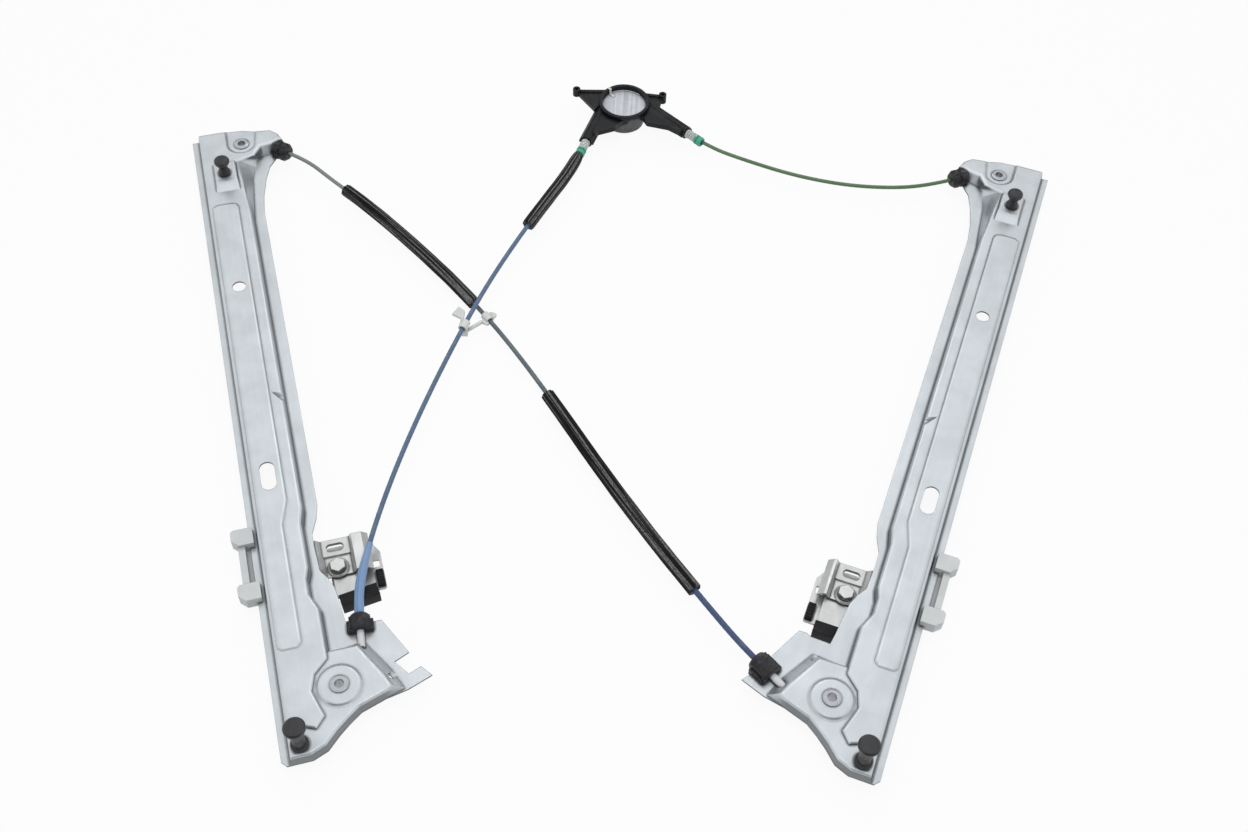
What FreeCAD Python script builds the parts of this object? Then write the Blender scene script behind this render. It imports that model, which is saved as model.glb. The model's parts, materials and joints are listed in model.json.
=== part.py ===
import FreeCAD, Part
import math
import os

# Cable window regulator of the double-rail kind, lying flat with the rail studs upward.
# Each rail is drawn in its own frame: v across the rail towards the other rail, u along
# the rail from the foot pulley to the head pulley, z upward from the top face of the web.
# The rails are then turned and moved to their places, and the whole is moved so that its
# origin is at the middle of the underside.

# Places of the rails and of the drum, in the flat plane of the webs.
LEFT_PLACE = (-186.1, -238.1)
LEFT_TILT = 17.5
RIGHT_PLACE = (151.7, -231.8)
RIGHT_TILT = -18.3
DRUM_PLACE = (-13.0, 362.3)
SURFACE_Z = -26.0

# Pressed rail.
SHEET = 1.5
RAIL_DEPTH = 10.0
FOOT_DROP = 2.0
HEAD_DROP = 2.0
PAD_RISE = 1.2
LEDGE_RISE = 4.0
WALL_RUN = 1.5
STRIP_EDGE_V = -44.6
WEB_EDGE_V = -37.5
WEB_INNER_V = -3.2
FLANGE_EDGE_V = 7.4
RAIL_HEAD_U = 568.0
RAIL_FOOT_U = -44.0
STEP_U = 28.0
EDGE_R = 1.8
LEDGE_EDGE_R = 1.4

# Places on the rail.
FOOT_AXLE = (1.7, 0.0)
HEAD_AXLE = (-1.7, RAIL_HEAD_U - 18.0)
ROUND_HOLE = (-22.9, 376.6)
ROUND_HOLE_R = 5.5
SLOT_PLACE = (-23.6, 182.0)
SLOT_WIDTH = 11.3
SLOT_LENGTH = 25.6
FOOT_STUD = (-30.1, -36.0)
HEAD_STUD = (-19.8, RAIL_HEAD_U - 58.0)
STUD_SHANK_R = 3.0

# Cable, pulleys and their hollow rivets.
CABLE_Z = -7.1
CABLE_R = 0.75
CABLE_V = -14.5
CABLE_GAP = 0.1
PULLEY_WIDTH = 6.2
PULLEY_LIP = 1.6
AXLE_R = 5.0
AXLE_BORE_R = 3.3
AXLE_FIT = 0.05
RIVET_RIM_R = 6.6
RIVET_RIM = 1.1
RIVET_FOOT_R = 7.4
RIVET_FOOT = 1.2
SIDE_PLAY = 0.3
FOOT_BOSS_R = 14.5
FOOT_BOSS_RUN = 2.0

# Ways of the conduits off the rails, as turns from the cross direction.
HEAD_EXIT = -40.0
FOOT_UP_EXIT = 84.5
FOOT_SIDE_EXIT = 28.5
SEAT_R = 2.8
SPOUT_R = 2.6
SPOUT_BORE_R = 1.4
CONDUIT_R = 2.3
CONDUIT_SEAT = 4.5

# Carriers, at rest near the foot of the rails.
SLIDE_GAP = 0.25
GUIDE_LOW = (82.5, 96.5)
GUIDE_HIGH = (129.5, 143.5)
GUIDE_OUT_V = -57.0
GUIDE_TOP = -4.0
GUIDE_FOOT = -14.0
GUIDE_BAR = (-53.0, -48.0)
BRACKET = 1.8
BRACKET_TOP = -12.2
BRACKET_FLOOR = -16.5
BRACKET_LOW = 94.5
BRACKET_HIGH = 125.5
ARM_END_V = -36.0
GLASS_GAP = 5.0
BOLT_PLACE = (14.4, 100.8)
BOLT_R = 3.0
BOLT_AF = 10.0
BOLT_RIM_R = 5.9
BOLT_HEAD = 4.0
BRACKET_SLOT = (14.5, 118.3)
BRACKET_SLOT_SIZE = (13.0, 7.0)
BRACKET_STEP = 110.4
CUSHION_TOP = BRACKET_FLOOR + 2.4
TOOTH = 1.0
ANCHOR = (-20.0, -10.9, 92.0, 116.0)
ANCHOR_TOP = -4.0
NIPPLE_R = 2.3
NIPPLE_LENGTH = 5.0
LEFT_CLAMP = {"shift": 0.0, "flange": 39.5, "plate": 46.0, "cushion": (11.5, 39.5, 69.5, 79.0), "turn": 8.0}
RIGHT_CLAMP = {"shift": -10.0, "flange": 34.0, "plate": 38.0, "cushion": (12.0, 29.0, 53.0, 62.5), "turn": 0.0}

# Drum unit.
DRUM_CABLE_R = 17.5
DRUM_LIP_R = 19.2
DRUM_BOTTOM = -13.6
DRUM_TOP = -5.0
DRUM_HUB_R = 11.5
DRUM_SOCKET_R = 7.0
RIM_R = 23.4
RIM_TOP = 2.2
RIM_LOW = -0.6
NECK_R = 21.8
NECK_LOW = -3.0
CAVITY_R = 19.8
COVER_R = 20.6
COVER_TOP = -3.2
COVER = 1.4
CAN_R = 20.9
CAN_FLOOR = -13.8
CAN_BOTTOM = -15.0
COLLAR_R = 18.6
COLLAR_BOTTOM = -21.5
ARM_R = 5.8
ARM_LEDGE = 1.0
WEB_LOW = -4.5
WEB_HIGH = -1.0
GUSSET_LOW = -7.5
GUSSET_HIGH = -2.0
LEFT_ARM_TURN = 253.0
LEFT_ARM_LENGTH = 55.0
RIGHT_ARM_TURN = -42.0
RIGHT_ARM_LENGTH = 63.5
LEFT_BOSS = (-44.8, 13.2)
RIGHT_BOSS = (35.3, 11.0)
BOSS_R = 3.5
BOSS_TOP = 2.5
LEFT_BOSS_LOW = -4.5
RIGHT_BOSS_LOW = -6.5
SCREW_R = 1.8
SPRING_R = 4.2
SPRING_LENGTH = 11.0
FERRULE_R = 4.4
FERRULE_LENGTH = 7.5
LEFT_DRUM_LEAD = 37.5
RIGHT_DRUM_LEAD = 25.5

# Foam round the conduits, guard sleeve and crossing clip.
FOAM_R = 5.6
GUARD_R = 3.8
CLIP_WALL = 1.4
CLIP_LENGTH = 8.0
UPPER_CLIP_RUN = 40.0
LOWER_CLIP_RUN = 43.0
LAP = 0.05


def vec(x, y, z=0.0):
    return FreeCAD.Vector(x, y, z)


def turned(angle, length=1.0):
    return (length * math.cos(math.radians(angle)), length * math.sin(math.radians(angle)))


def along(point, angle, length):
    step = turned(angle, length)
    return (point[0] + step[0], point[1] + step[1])


def inset(points, distance):
    # Moves each side of an anticlockwise outline inward by the distance.
    moved = []
    for index, (x, y) in enumerate(points):
        before = points[index - 1]
        after = points[(index + 1) % len(points)]
        first = math.atan2(y - before[1], x - before[0]) + math.pi / 2
        second = math.atan2(after[1] - y, after[0] - x) + math.pi / 2
        share = distance / (1 + math.cos(first - second))
        moved.append((x + share * (math.cos(first) + math.cos(second)),
                      y + share * (math.sin(first) + math.sin(second))))
    return moved


def corner(before, point, after, radius, reach):
    # Tangent points and middle of the arc that rounds one corner of a route or outline.
    back = (before - point).normalize()
    on = (after - point).normalize()
    half = back.getAngle(on) / 2
    length = min(radius / math.tan(half), reach * min((before - point).Length, (after - point).Length))
    radius = length * math.tan(half)
    middle = (back + on).normalize() * (radius / math.sin(half) - radius)
    return point + back * length, point + middle, point + on * length


def outline(points, z, radius=0.0):
    spots = [vec(x, y, z) for x, y in points]
    if not radius:
        return Part.makePolygon(spots + [spots[0]])
    arcs = []
    for index, spot in enumerate(spots):
        arcs.append(corner(spots[index - 1], spot, spots[(index + 1) % len(spots)], radius, 0.45))
    edges = []
    for index, (start, middle, end) in enumerate(arcs):
        edges.append(Part.Arc(start, middle, end).toShape())
        following = arcs[(index + 1) % len(arcs)][0]
        edges.append(Part.LineSegment(end, following).toShape())
    return Part.Wire(edges)


def prism(points, low, high, radius=0.0):
    return Part.Face(outline(points, low, radius)).extrude(vec(0, 0, high - low))


def draft(lower, low, upper, high, radius=0.0):
    return Part.makeLoft([outline(lower, low, radius), outline(upper, high, radius)], True, True)


def stack(levels):
    # A solid with straight sides through outlines that lie one above another.
    return Part.makeLoft([outline(points, z) for points, z in levels], True, True)


def between(lower, upper, share):
    return [(a[0] + (b[0] - a[0]) * share, a[1] + (b[1] - a[1]) * share) for a, b in zip(lower, upper)]


def rounded(lower, low, upper, high, radius):
    # A drafted form whose upper edge is rolled over by the radius.
    levels = [(lower, low)]
    for part in (1.0, 0.6, 0.3, 0.1, 0.0):
        drop = radius * part
        side = between(lower, upper, 1 - drop / (high - low))
        levels.append((inset(side, radius * (1 - math.sqrt(1 - (1 - part) ** 2))), high - drop))
    return stack(levels)


def rectangle(v0, v1, u0, u1):
    return [(v0, u0), (v1, u0), (v1, u1), (v0, u1)]


def box(v0, v1, u0, u1, z0, z1):
    return Part.makeBox(v1 - v0, u1 - u0, z1 - z0, vec(v0, u0, z0))


def cylinder(place, radius, low, high):
    return Part.makeCylinder(radius, high - low, vec(place[0], place[1], low))


def rod(place, angle, start, end, radius, z=CABLE_Z):
    # A round bar that lies flat and points along the angle.
    base = along(place, angle, start)
    step = turned(angle)
    return Part.makeCylinder(radius, end - start, vec(base[0], base[1], z), vec(step[0], step[1]))


def spun(place, profile):
    # Turns an outline of radius and height about the upright axis through the place.
    spots = [vec(place[0] + r, place[1], z) for r, z in profile]
    face = Part.Face(Part.makePolygon(spots + [spots[0]]))
    return face.revolve(vec(place[0], place[1]), vec(0, 0, 1), 360)


def bar(place, angle, start, profile, z=CABLE_Z):
    # Turns an outline of radius and length about a flat axis along the angle.
    base = along(place, angle, start)
    spots = [vec(length, radius) for radius, length in profile]
    shape = Part.Face(Part.makePolygon(spots + [spots[0]])).revolve(vec(0, 0), vec(1, 0), 360)
    shape.rotate(vec(0, 0), vec(0, 0, 1), angle)
    shape.translate(vec(base[0], base[1], z))
    return shape


def fuse(shapes):
    return shapes[0].multiFuse(shapes[1:]).removeSplitter()


def hexagon(place, across, low, high):
    radius = across / math.sqrt(3)
    points = [along(place, 60 * side + 30, radius) for side in range(6)]
    return prism(points, low, high)


# Cable lines: where each leaves its pulley and how far its seat on the rail is.

def pulley_r(axle):
    return axle[0] - CABLE_V


def leaving(axle, angle, side):
    return along(axle, angle + side * 90, pulley_r(axle))


HEAD_LINE = leaving(HEAD_AXLE, HEAD_EXIT, 1)
FOOT_UP_LINE = leaving(FOOT_AXLE, FOOT_UP_EXIT, -1)
FOOT_SIDE_LINE = leaving(FOOT_AXLE, FOOT_SIDE_EXIT, -1)
HEAD_SEAT = 26.0
FOOT_UP_SEAT = 42.0
FOOT_SIDE_SEAT = 40.0
HEAD_CAP_LENGTH = 15.0
FOOT_UP_CONNECTOR = 12.0
FOOT_SIDE_CONNECTOR = 17.0


# Outlines of the pressing, anticlockwise.

def web_top():
    v = WEB_INNER_V
    head = RAIL_HEAD_U
    return [(WEB_EDGE_V, -24.0), (-27.0, -24.0), (-18.0, -28.0), (-11.0, -20.0), (-13.5, -12.0),
            (-17.0, 0.0), (-13.5, 12.0), (v, 22.0), (v, 62.0), (v - 5.3, 75.0), (v - 5.3, 88.0),
            (v - 2.8, 97.0), (v - 2.8, 136.0), (v, 150.0), (v, head - 102.0), (-6.0, head - 63.0),
            (-8.6, head - 41.0), (7.0, head - 37.0), (14.0, head - 26.0), (27.0, head - 23.0),
            (34.0, head - 21.0), (31.0, head - 13.0), (25.0, head - 7.0), (14.0, head - 5.5),
            (0.0, head - 1.0), (-14.0, head), (WEB_EDGE_V, head)]


def web_foot():
    points = inset(web_top(), -WALL_RUN)
    head = RAIL_HEAD_U
    wide = {14: (-1.7, head - 110.0), 15: (3.0, head - 60.0), 16: (7.0, head - 42.0),
            17: (12.0, head - 32.0), 18: (16.0, head - 30.0), 19: (27.0, head - 28.0),
            20: (35.5, head - 22.0)}
    return [wide.get(index, point) for index, point in enumerate(points)]


def foot_top():
    return [(WEB_EDGE_V, RAIL_FOOT_U), (-24.0, RAIL_FOOT_U), (-14.0, -40.0), (-5.0, -31.0),
            (3.0, -24.5), (12.0, -18.0), (30.0, -12.0), (36.0, -9.0), (31.7, 1.0),
            (17.7, STEP_U - 0.5), (-1.0, STEP_U), (WEB_EDGE_V, STEP_U + 0.5)]


def foot_foot():
    points = inset(foot_top(), -WALL_RUN)
    wide = {7: (44.5, -9.5), 8: (38.2, 7.0), 9: (23.2, 33.0)}
    return [wide.get(index, point) for index, point in enumerate(points)]


def flange_outline():
    edge = WALL_RUN
    foot = RAIL_FOOT_U - edge
    head = RAIL_HEAD_U
    v = FLANGE_EDGE_V
    return [(STRIP_EDGE_V, foot + 4.0), (STRIP_EDGE_V + 3.5, foot), (-23.6, foot), (-13.0, -41.3),
            (-4.0, -32.3), (4.0, -25.6), (12.7, -19.4), (30.4, -13.5), (46.0, -10.5), (64.0, -4.0),
            (57.7, 4.5), (48.5, 1.0), (44.5, 7.0), (40.5, 12.5), (51.6, 17.3), (37.4, 47.3),
            (31.4, 47.3), (28.5, 45.5), (14.0, 45.0), (12.5, 55.0), (11.0, 69.5), (9.5, 81.5),
            (6.0, 90.5), (1.3, 98.0), (0.3, 120.0), (0.6, 131.0), (5.5, 144.0), (v + 0.4, 156.0),
            (v, head - 98.0), (9.5, head - 79.0), (14.0, head - 58.0), (19.0, head - 43.5),
            (27.0, head - 33.0), (35.5, head - 22.0), (32.5, head - 12.0), (25.7, head - 5.4),
            (14.3, head - 3.9), (0.3, head + 0.6), (-14.0, head + edge), (STRIP_EDGE_V, head + edge)]


def pad_outline():
    left = WEB_EDGE_V + 2.0
    right = -12.2
    foot = 34.4
    head = RAIL_HEAD_U - 92.3
    return [(left, foot + 3.0), (left + 3.0, foot), (-21.5, foot), (-18.0, foot + 3.5),
            (-18.0, 137.0), (right, 158.0), (right, head - 6.0), (right - 1.6, head - 1.8),
            (right - 5.6, head), (left + 4.8, head), (left + 0.8, head - 3.0)]


def pad_form(skin):
    # The raised pad with its soft slope, or the hollow under it.
    points = pad_outline()
    if skin:
        return draft(inset(points, skin), -skin - 0.5, inset(points, skin + PAD_RISE), PAD_RISE - skin)
    slope = [(0.0, -0.5), (0.0, 0.0), (0.3, 0.25), (1.1, 0.75), (2.0, 1.0)]
    return stack([(inset(points, run), share * PAD_RISE if share > 0 else share)
                  for run, share in slope])


def ledge_form(skin):
    head = RAIL_HEAD_U
    low = rectangle(-29.5, -9.0, head - 78.0, head - 42.0)
    high = rectangle(-27.5, -9.6, head - 67.4, head - 43.5)
    if skin:
        return draft(inset(low, skin), -skin - 0.5, inset(high, skin), LEDGE_RISE - skin)
    return rounded(low, -0.5, high, LEDGE_RISE, LEDGE_EDGE_R)


def boss_form(skin):
    # The round seat of the foot rivet, which slopes down to the foot plate.
    foot_z = -FOOT_DROP - skin
    wide = FOOT_BOSS_R + FOOT_BOSS_RUN - skin
    if skin:
        return Part.makeCone(wide, FOOT_BOSS_R - skin, FOOT_DROP, vec(FOOT_AXLE[0], FOOT_AXLE[1], foot_z))
    return spun(FOOT_AXLE, [(0, foot_z - 0.5), (wide, foot_z - 0.5), (wide, foot_z),
                            (wide - 1.0, foot_z + 0.5), (FOOT_BOSS_R, -0.5),
                            (FOOT_BOSS_R - 0.8, -0.1), (FOOT_BOSS_R - 1.8, 0), (0, 0)])


def pressed_form(skin):
    # The raised form of the rail; with a skin it is the hollow under the sheet.
    base = -RAIL_DEPTH - skin * 1.4
    foot_z = -FOOT_DROP - skin
    if skin:
        web = draft(inset(web_foot(), skin), base, inset(web_top(), skin), -skin)
        foot = draft(inset(foot_foot(), skin), base, inset(foot_top(), skin), foot_z)
    else:
        web = rounded(web_foot(), base, web_top(), 0.0, EDGE_R)
        foot = rounded(foot_foot(), base, foot_top(), foot_z, EDGE_R)
    form = fuse([web, foot, pad_form(skin), ledge_form(skin), boss_form(skin)])
    return form.cut(head_recess(skin)).cut(rib_notch(skin))


def head_recess(skin):
    # The low seat of the head pulley, round at the bottom and open at the end of the rail.
    radius = pulley_r(HEAD_AXLE) - 1.4 + skin
    axle_v, axle_u = HEAD_AXLE
    low = -HEAD_DROP - skin
    slope = [(0.0, low), (0.4, low + 0.3), (1.6, low + 1.6), (2.6, low + 2.0), (2.6, PAD_RISE + 1)]
    profile = [(0, low)] + [(radius + run, z) for run, z in slope] + [(0, PAD_RISE + 1)]
    mouth = stack([([(axle_v - radius - run, axle_u), (axle_v + radius + run, axle_u),
                     (axle_v + radius + run + 4, axle_u + 24), (axle_v - radius - run, axle_u + 24)], z)
                   for run, z in slope])
    return spun(HEAD_AXLE, profile).fuse(mouth)


def rib_notch(skin):
    # The short dip that parts the rib beside the pad.
    points = [(-11.6 - skin, 262.0), (-2.0, 247.0 - skin), (4.0, 247.0 - skin), (4.0, 258.0),
              (-2.0, 258.0 + skin)]
    low = -2.0 - skin
    if skin:
        return prism(points, low, PAD_RISE + 1)
    return stack([(inset(points, 2.0), low), (inset(points, 0.6), -0.6), (points, 0.1),
                  (points, PAD_RISE + 1)])


def seat_bores():
    # Ways for the cable through the walls at the head and at both seats of the foot.
    ways = [(HEAD_LINE, HEAD_EXIT, HEAD_SEAT + 16), (FOOT_UP_LINE, FOOT_UP_EXIT, FOOT_UP_SEAT + 20),
            (FOOT_SIDE_LINE, FOOT_SIDE_EXIT, FOOT_SIDE_SEAT + 30)]
    return [rod(line, angle, 6, length, SEAT_R) for line, angle, length in ways]


def rail_holes():
    half = SLOT_LENGTH / 2 - SLOT_WIDTH / 2
    v, u = SLOT_PLACE
    low = -RAIL_DEPTH
    high = LEDGE_RISE + 1
    slot = fuse([cylinder((v, u - half), SLOT_WIDTH / 2, low, high),
                 cylinder((v, u + half), SLOT_WIDTH / 2, low, high),
                 box(v - SLOT_WIDTH / 2, v + SLOT_WIDTH / 2, u - half, u + half, low, high)])
    holes = [slot, cylinder(ROUND_HOLE, ROUND_HOLE_R, low, high)]
    for place in (FOOT_AXLE, HEAD_AXLE):
        holes.append(cylinder(place, AXLE_R + AXLE_FIT, low, high))
    for place in (FOOT_STUD, HEAD_STUD):
        holes.append(cylinder(place, STUD_SHANK_R + LAP, low, high))
    return holes


def rail():
    flange = prism(flange_outline(), -RAIL_DEPTH - SHEET, -RAIL_DEPTH)
    body = flange.fuse(pressed_form(0.0))
    body = body.cut(pressed_form(SHEET))
    for tool in seat_bores() + rail_holes():
        body = body.cut(tool)
    return body.removeSplitter()


# Pieces on the rail.

def plate_under(axle):
    if axle == FOOT_AXLE:
        return -SHEET
    return -HEAD_DROP - SHEET


def pulley(axle):
    half = PULLEY_WIDTH / 2
    lip = pulley_r(axle) + PULLEY_LIP
    groove = pulley_r(axle) - CABLE_R - CABLE_GAP
    bore = AXLE_R + AXLE_FIT
    return spun(axle, [(bore, CABLE_Z - half), (lip, CABLE_Z - half), (lip, CABLE_Z - half + 0.9),
                       (groove, CABLE_Z - 0.9), (groove, CABLE_Z + 0.9), (lip, CABLE_Z + half - 0.9),
                       (lip, CABLE_Z + half), (bore, CABLE_Z + half)])


def hollow_rivet(axle):
    half = PULLEY_WIDTH / 2
    under = plate_under(axle)
    top = under + SHEET
    foot = CABLE_Z - half - SIDE_PLAY
    shoulder = CABLE_Z + half + SIDE_PLAY
    outer = [(AXLE_BORE_R, foot - RIVET_FOOT), (RIVET_FOOT_R, foot - RIVET_FOOT), (RIVET_FOOT_R, foot),
             (AXLE_R, foot), (AXLE_R, shoulder)]
    if under - shoulder > SIDE_PLAY:
        outer += [(RIVET_FOOT_R, shoulder), (RIVET_FOOT_R, under), (AXLE_R, under)]
    outer += [(AXLE_R, top), (RIVET_RIM_R, top), (RIVET_RIM_R, top + RIVET_RIM * 0.5),
              (RIVET_RIM_R - 1.2, top + RIVET_RIM), (AXLE_BORE_R, top + RIVET_RIM)]
    return spun(axle, outer)


def foot_stud():
    seat = -FOOT_DROP
    shank = STUD_SHANK_R
    return spun(FOOT_STUD, [(0, seat - SHEET - 1.4), (shank + 0.8, seat - SHEET - 1.4),
                            (shank + 0.8, seat - SHEET), (shank, seat - SHEET), (shank, seat),
                            (6.2, seat), (6.2, seat + 1.6), (4.6, seat + 2.6), (4.4, seat + 10),
                            (5.0, seat + 14), (5.2, seat + 22.4), (6.6, seat + 23.0),
                            (7.6, seat + 24.2), (7.6, seat + 26.0), (6.4, seat + 27.2),
                            (0, seat + 27.6)])


def head_stud():
    seat = LEDGE_RISE
    shank = STUD_SHANK_R
    return spun(HEAD_STUD, [(0, seat - SHEET - 1.4), (shank + 0.8, seat - SHEET - 1.4),
                            (shank + 0.8, seat - SHEET), (shank, seat - SHEET), (shank, seat),
                            (5.2, seat), (5.4, seat + 1.5), (4.9, seat + 3.0), (3.6, seat + 6.0),
                            (3.6, seat + 7.5), (5.6, seat + 11.0), (6.6, seat + 13.0),
                            (6.4, seat + 14.8), (5.2, seat + 16.0), (0, seat + 16.6)])


def rail_cable(foot_line, foot_angle):
    # The bare cable of one rail: from the foot seat round both pulleys to the head seat.
    start = along(foot_line, foot_angle, FOOT_UP_SEAT if foot_angle > 45 else FOOT_SIDE_SEAT)
    foot_r = pulley_r(FOOT_AXLE)
    head_r = pulley_r(HEAD_AXLE)
    low_turn = (foot_angle - 90 + 180) / 2 - 180
    high_turn = (HEAD_EXIT + 90 + 180) / 2
    foot_mid = along(FOOT_AXLE, low_turn, foot_r)
    head_mid = along(HEAD_AXLE, high_turn, head_r)
    end = along(HEAD_LINE, HEAD_EXIT, HEAD_SEAT)
    stops = [vec(p[0], p[1], CABLE_Z) for p in (start, foot_line, foot_mid, (CABLE_V, FOOT_AXLE[1]),
                                                (CABLE_V, HEAD_AXLE[1]), head_mid, HEAD_LINE, end)]
    path = Part.Wire([Part.LineSegment(stops[0], stops[1]).toShape(),
                      Part.Arc(stops[1], stops[2], stops[3]).toShape(),
                      Part.LineSegment(stops[3], stops[4]).toShape(),
                      Part.Arc(stops[4], stops[5], stops[6]).toShape(),
                      Part.LineSegment(stops[6], stops[7]).toShape()])
    return tube(path, CABLE_R)


def tube(path, radius):
    first = path.OrderedEdges[0]
    start = first.valueAt(first.FirstParameter)
    end = first.valueAt(first.LastParameter)
    ring = Part.Wire(Part.makeCircle(radius, start, (end - start).normalize()))
    return path.makePipeShell([ring], True, False)


def head_cap(rail_shape):
    # The ribbed end cap on the horn of the rail.
    body = bar(HEAD_LINE, HEAD_EXIT, HEAD_SEAT, [
        (CABLE_R + 0.4, 0), (6.4, 0), (8.2, 2.0), (8.2, 6.0), (6.6, 7.4), (8.0, 8.8), (8.0, 12.0),
        (5.6, HEAD_CAP_LENGTH), (CABLE_R + 0.4, HEAD_CAP_LENGTH)])
    body = body.cut(rod(HEAD_LINE, HEAD_EXIT, HEAD_SEAT + HEAD_CAP_LENGTH - CONDUIT_SEAT,
                        HEAD_SEAT + HEAD_CAP_LENGTH + 1, CONDUIT_R + LAP))
    for side in range(8):
        groove = Part.makeBox(HEAD_CAP_LENGTH + 2, 1.6, 4.0, vec(-1, -0.8, 7.2))
        groove.rotate(vec(0, 0), vec(1, 0), 45 * side + 22.5)
        groove.rotate(vec(0, 0), vec(0, 0, 1), HEAD_EXIT)
        base = along(HEAD_LINE, HEAD_EXIT, HEAD_SEAT)
        groove.translate(vec(base[0], base[1], CABLE_Z))
        body = body.cut(groove)
    return body.cut(rail_shape)


def connector(line, angle, seat, length, rail_shape):
    # The round-backed connector that clips over the edge of the foot.
    half = 9.4
    dome = bar(line, angle, seat, [(0, 0), (7.0, 0), (7.6, 1.2), (7.6, length - 1.6),
                                   (6.6, length), (0, length)])
    wings = Part.makeBox(length - 4.0, 2 * half, 6.4, vec(1.0, -half, -12.9 - CABLE_Z))
    skirt = Part.makeBox(3.0, 2 * half - 2.0, 8.6, vec(0.0, 1.0 - half, -12.9 - CABLE_Z))
    ribs = [Part.makeBox(length - 3.0, 1.4, 9.6, vec(1.5, side * 6.8 - 0.7, -12.9 - CABLE_Z))
            for side in (-1, 1)]
    lower = fuse([wings, skirt] + ribs)
    lower.rotate(vec(0, 0), vec(0, 0, 1), angle)
    base = along(line, angle, seat)
    lower.translate(vec(base[0], base[1], CABLE_Z))
    bore = rod(line, angle, seat - 1, seat + length + 1, CABLE_R + 0.4)
    socket = rod(line, angle, seat + length - CONDUIT_SEAT, seat + length + 1, CONDUIT_R + LAP)
    return dome.fuse(lower).cut(bore).cut(socket).cut(rail_shape).removeSplitter()


def spout(line, angle, seat):
    start = seat - 13.0
    return rod(line, angle, start, seat, SPOUT_R).cut(rod(line, angle, start - 1, seat + 1, SPOUT_BORE_R))


# Carrier pieces, drawn at rest; the clamp values are those of one side.

def guide():
    strip_low = -RAIL_DEPTH - SHEET
    parts = []
    for low, high in (GUIDE_LOW, GUIDE_HIGH):
        chamfered = [(GUIDE_OUT_V + 5, low), (WEB_EDGE_V - WALL_RUN - 2.0, low),
                     (WEB_EDGE_V - WALL_RUN - 2.0, high), (GUIDE_OUT_V + 2, high),
                     (GUIDE_OUT_V, high - 2), (GUIDE_OUT_V, low + 5)]
        parts.append(prism(chamfered, GUIDE_FOOT, GUIDE_TOP))
        parts.append(box(-50, ARM_END_V, low, high, GUIDE_FOOT, strip_low - SLIDE_GAP))
    parts.append(box(GUIDE_BAR[0], GUIDE_BAR[1], GUIDE_LOW[0] + 2, GUIDE_HIGH[1] - 2, GUIDE_FOOT, -7.0))
    parts.append(box(-50, ARM_END_V + 8, GUIDE_LOW[0] + 4, GUIDE_HIGH[1] - 4,
                     GUIDE_FOOT - 2.0, BRACKET_TOP - BRACKET))
    body = fuse(parts)
    track = box(STRIP_EDGE_V - SLIDE_GAP, 0, 60, 160, strip_low - SLIDE_GAP, -RAIL_DEPTH + SLIDE_GAP)
    return body.cut(track)


def bracket(clamp):
    shift = clamp["shift"]
    low = BRACKET_LOW + shift
    high = BRACKET_HIGH + shift
    edge = clamp["flange"]
    floor = BRACKET_FLOOR
    line = [(1.5, BRACKET_TOP), (6.0, floor), (24.5, floor), (27.5, BRACKET_TOP),
            (edge - 4.5, BRACKET_TOP - 0.3), (edge, BRACKET_TOP - 4.4)]
    hat = [vec(v, 0, z) for v, z in [(ARM_END_V + 10, BRACKET_TOP)] + line]
    under = [vec(v, 0, z - BRACKET) for v, z in [(ARM_END_V + 10, BRACKET_TOP)] + line]
    section = Part.makePolygon(hat + under[::-1] + [hat[0]])
    body = Part.Face(section).extrude(vec(0, high - low, 0))
    body.translate(vec(0, low, 0))
    arm = box(ARM_END_V + LAP, ARM_END_V + 12, GUIDE_LOW[0] + 8, GUIDE_HIGH[0] - 6,
              BRACKET_TOP - BRACKET, BRACKET_TOP)
    base = box(ARM_END_V + 10, 1.0, min(low, GUIDE_LOW[0] + 8), high, BRACKET_TOP - BRACKET, BRACKET_TOP)
    tongue_low = clamp["cushion"][3]
    tongue = box(9.5, 28, tongue_low, low + 9, floor - 2 * BRACKET, floor - BRACKET)
    place = (BOLT_PLACE[0], BOLT_PLACE[1] + shift)
    boss = Part.makeCone(8.0, 6.8, 1.5, vec(place[0], place[1], floor))
    step = draft(rectangle(5.0, 25.5, BRACKET_STEP + shift, high), floor - 0.5,
                 rectangle(5.0, 25.5, BRACKET_STEP + shift + 1.2, high), floor + 1.2)
    body = fuse([body, arm, base, tongue, boss, step])
    half_v = BRACKET_SLOT_SIZE[0] / 2
    half_u = BRACKET_SLOT_SIZE[1] / 2
    centre = BRACKET_SLOT[1] + shift
    slot = prism(rectangle(BRACKET_SLOT[0] - half_v, BRACKET_SLOT[0] + half_v,
                           centre - half_u, centre + half_u), floor - 3, floor + 3, half_u * 0.9)
    return body.cut(slot).cut(cylinder(place, BOLT_R + 0.2, floor - 5, floor + 3)).removeSplitter()


def clamp_plate(clamp):
    shift = clamp["shift"]
    top = BRACKET_FLOOR - BRACKET - GLASS_GAP
    edge = clamp["plate"]
    low = clamp["cushion"][3] + 1.0
    high = BRACKET_HIGH + shift - 2.0
    plate = prism([(8, low), (edge, low), (edge, high - 12), (edge - 7, high), (8, high)],
                  top - BRACKET, top, 2.0)
    window = box(edge - 7.5, edge - 2.0, 99.0 + shift, 105.0 + shift, top - 3, top + 1)
    hole = cylinder((BOLT_PLACE[0], BOLT_PLACE[1] + shift), BOLT_R + LAP, top - 3, top + 1)
    return plate.cut(window).cut(hole)


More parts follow.
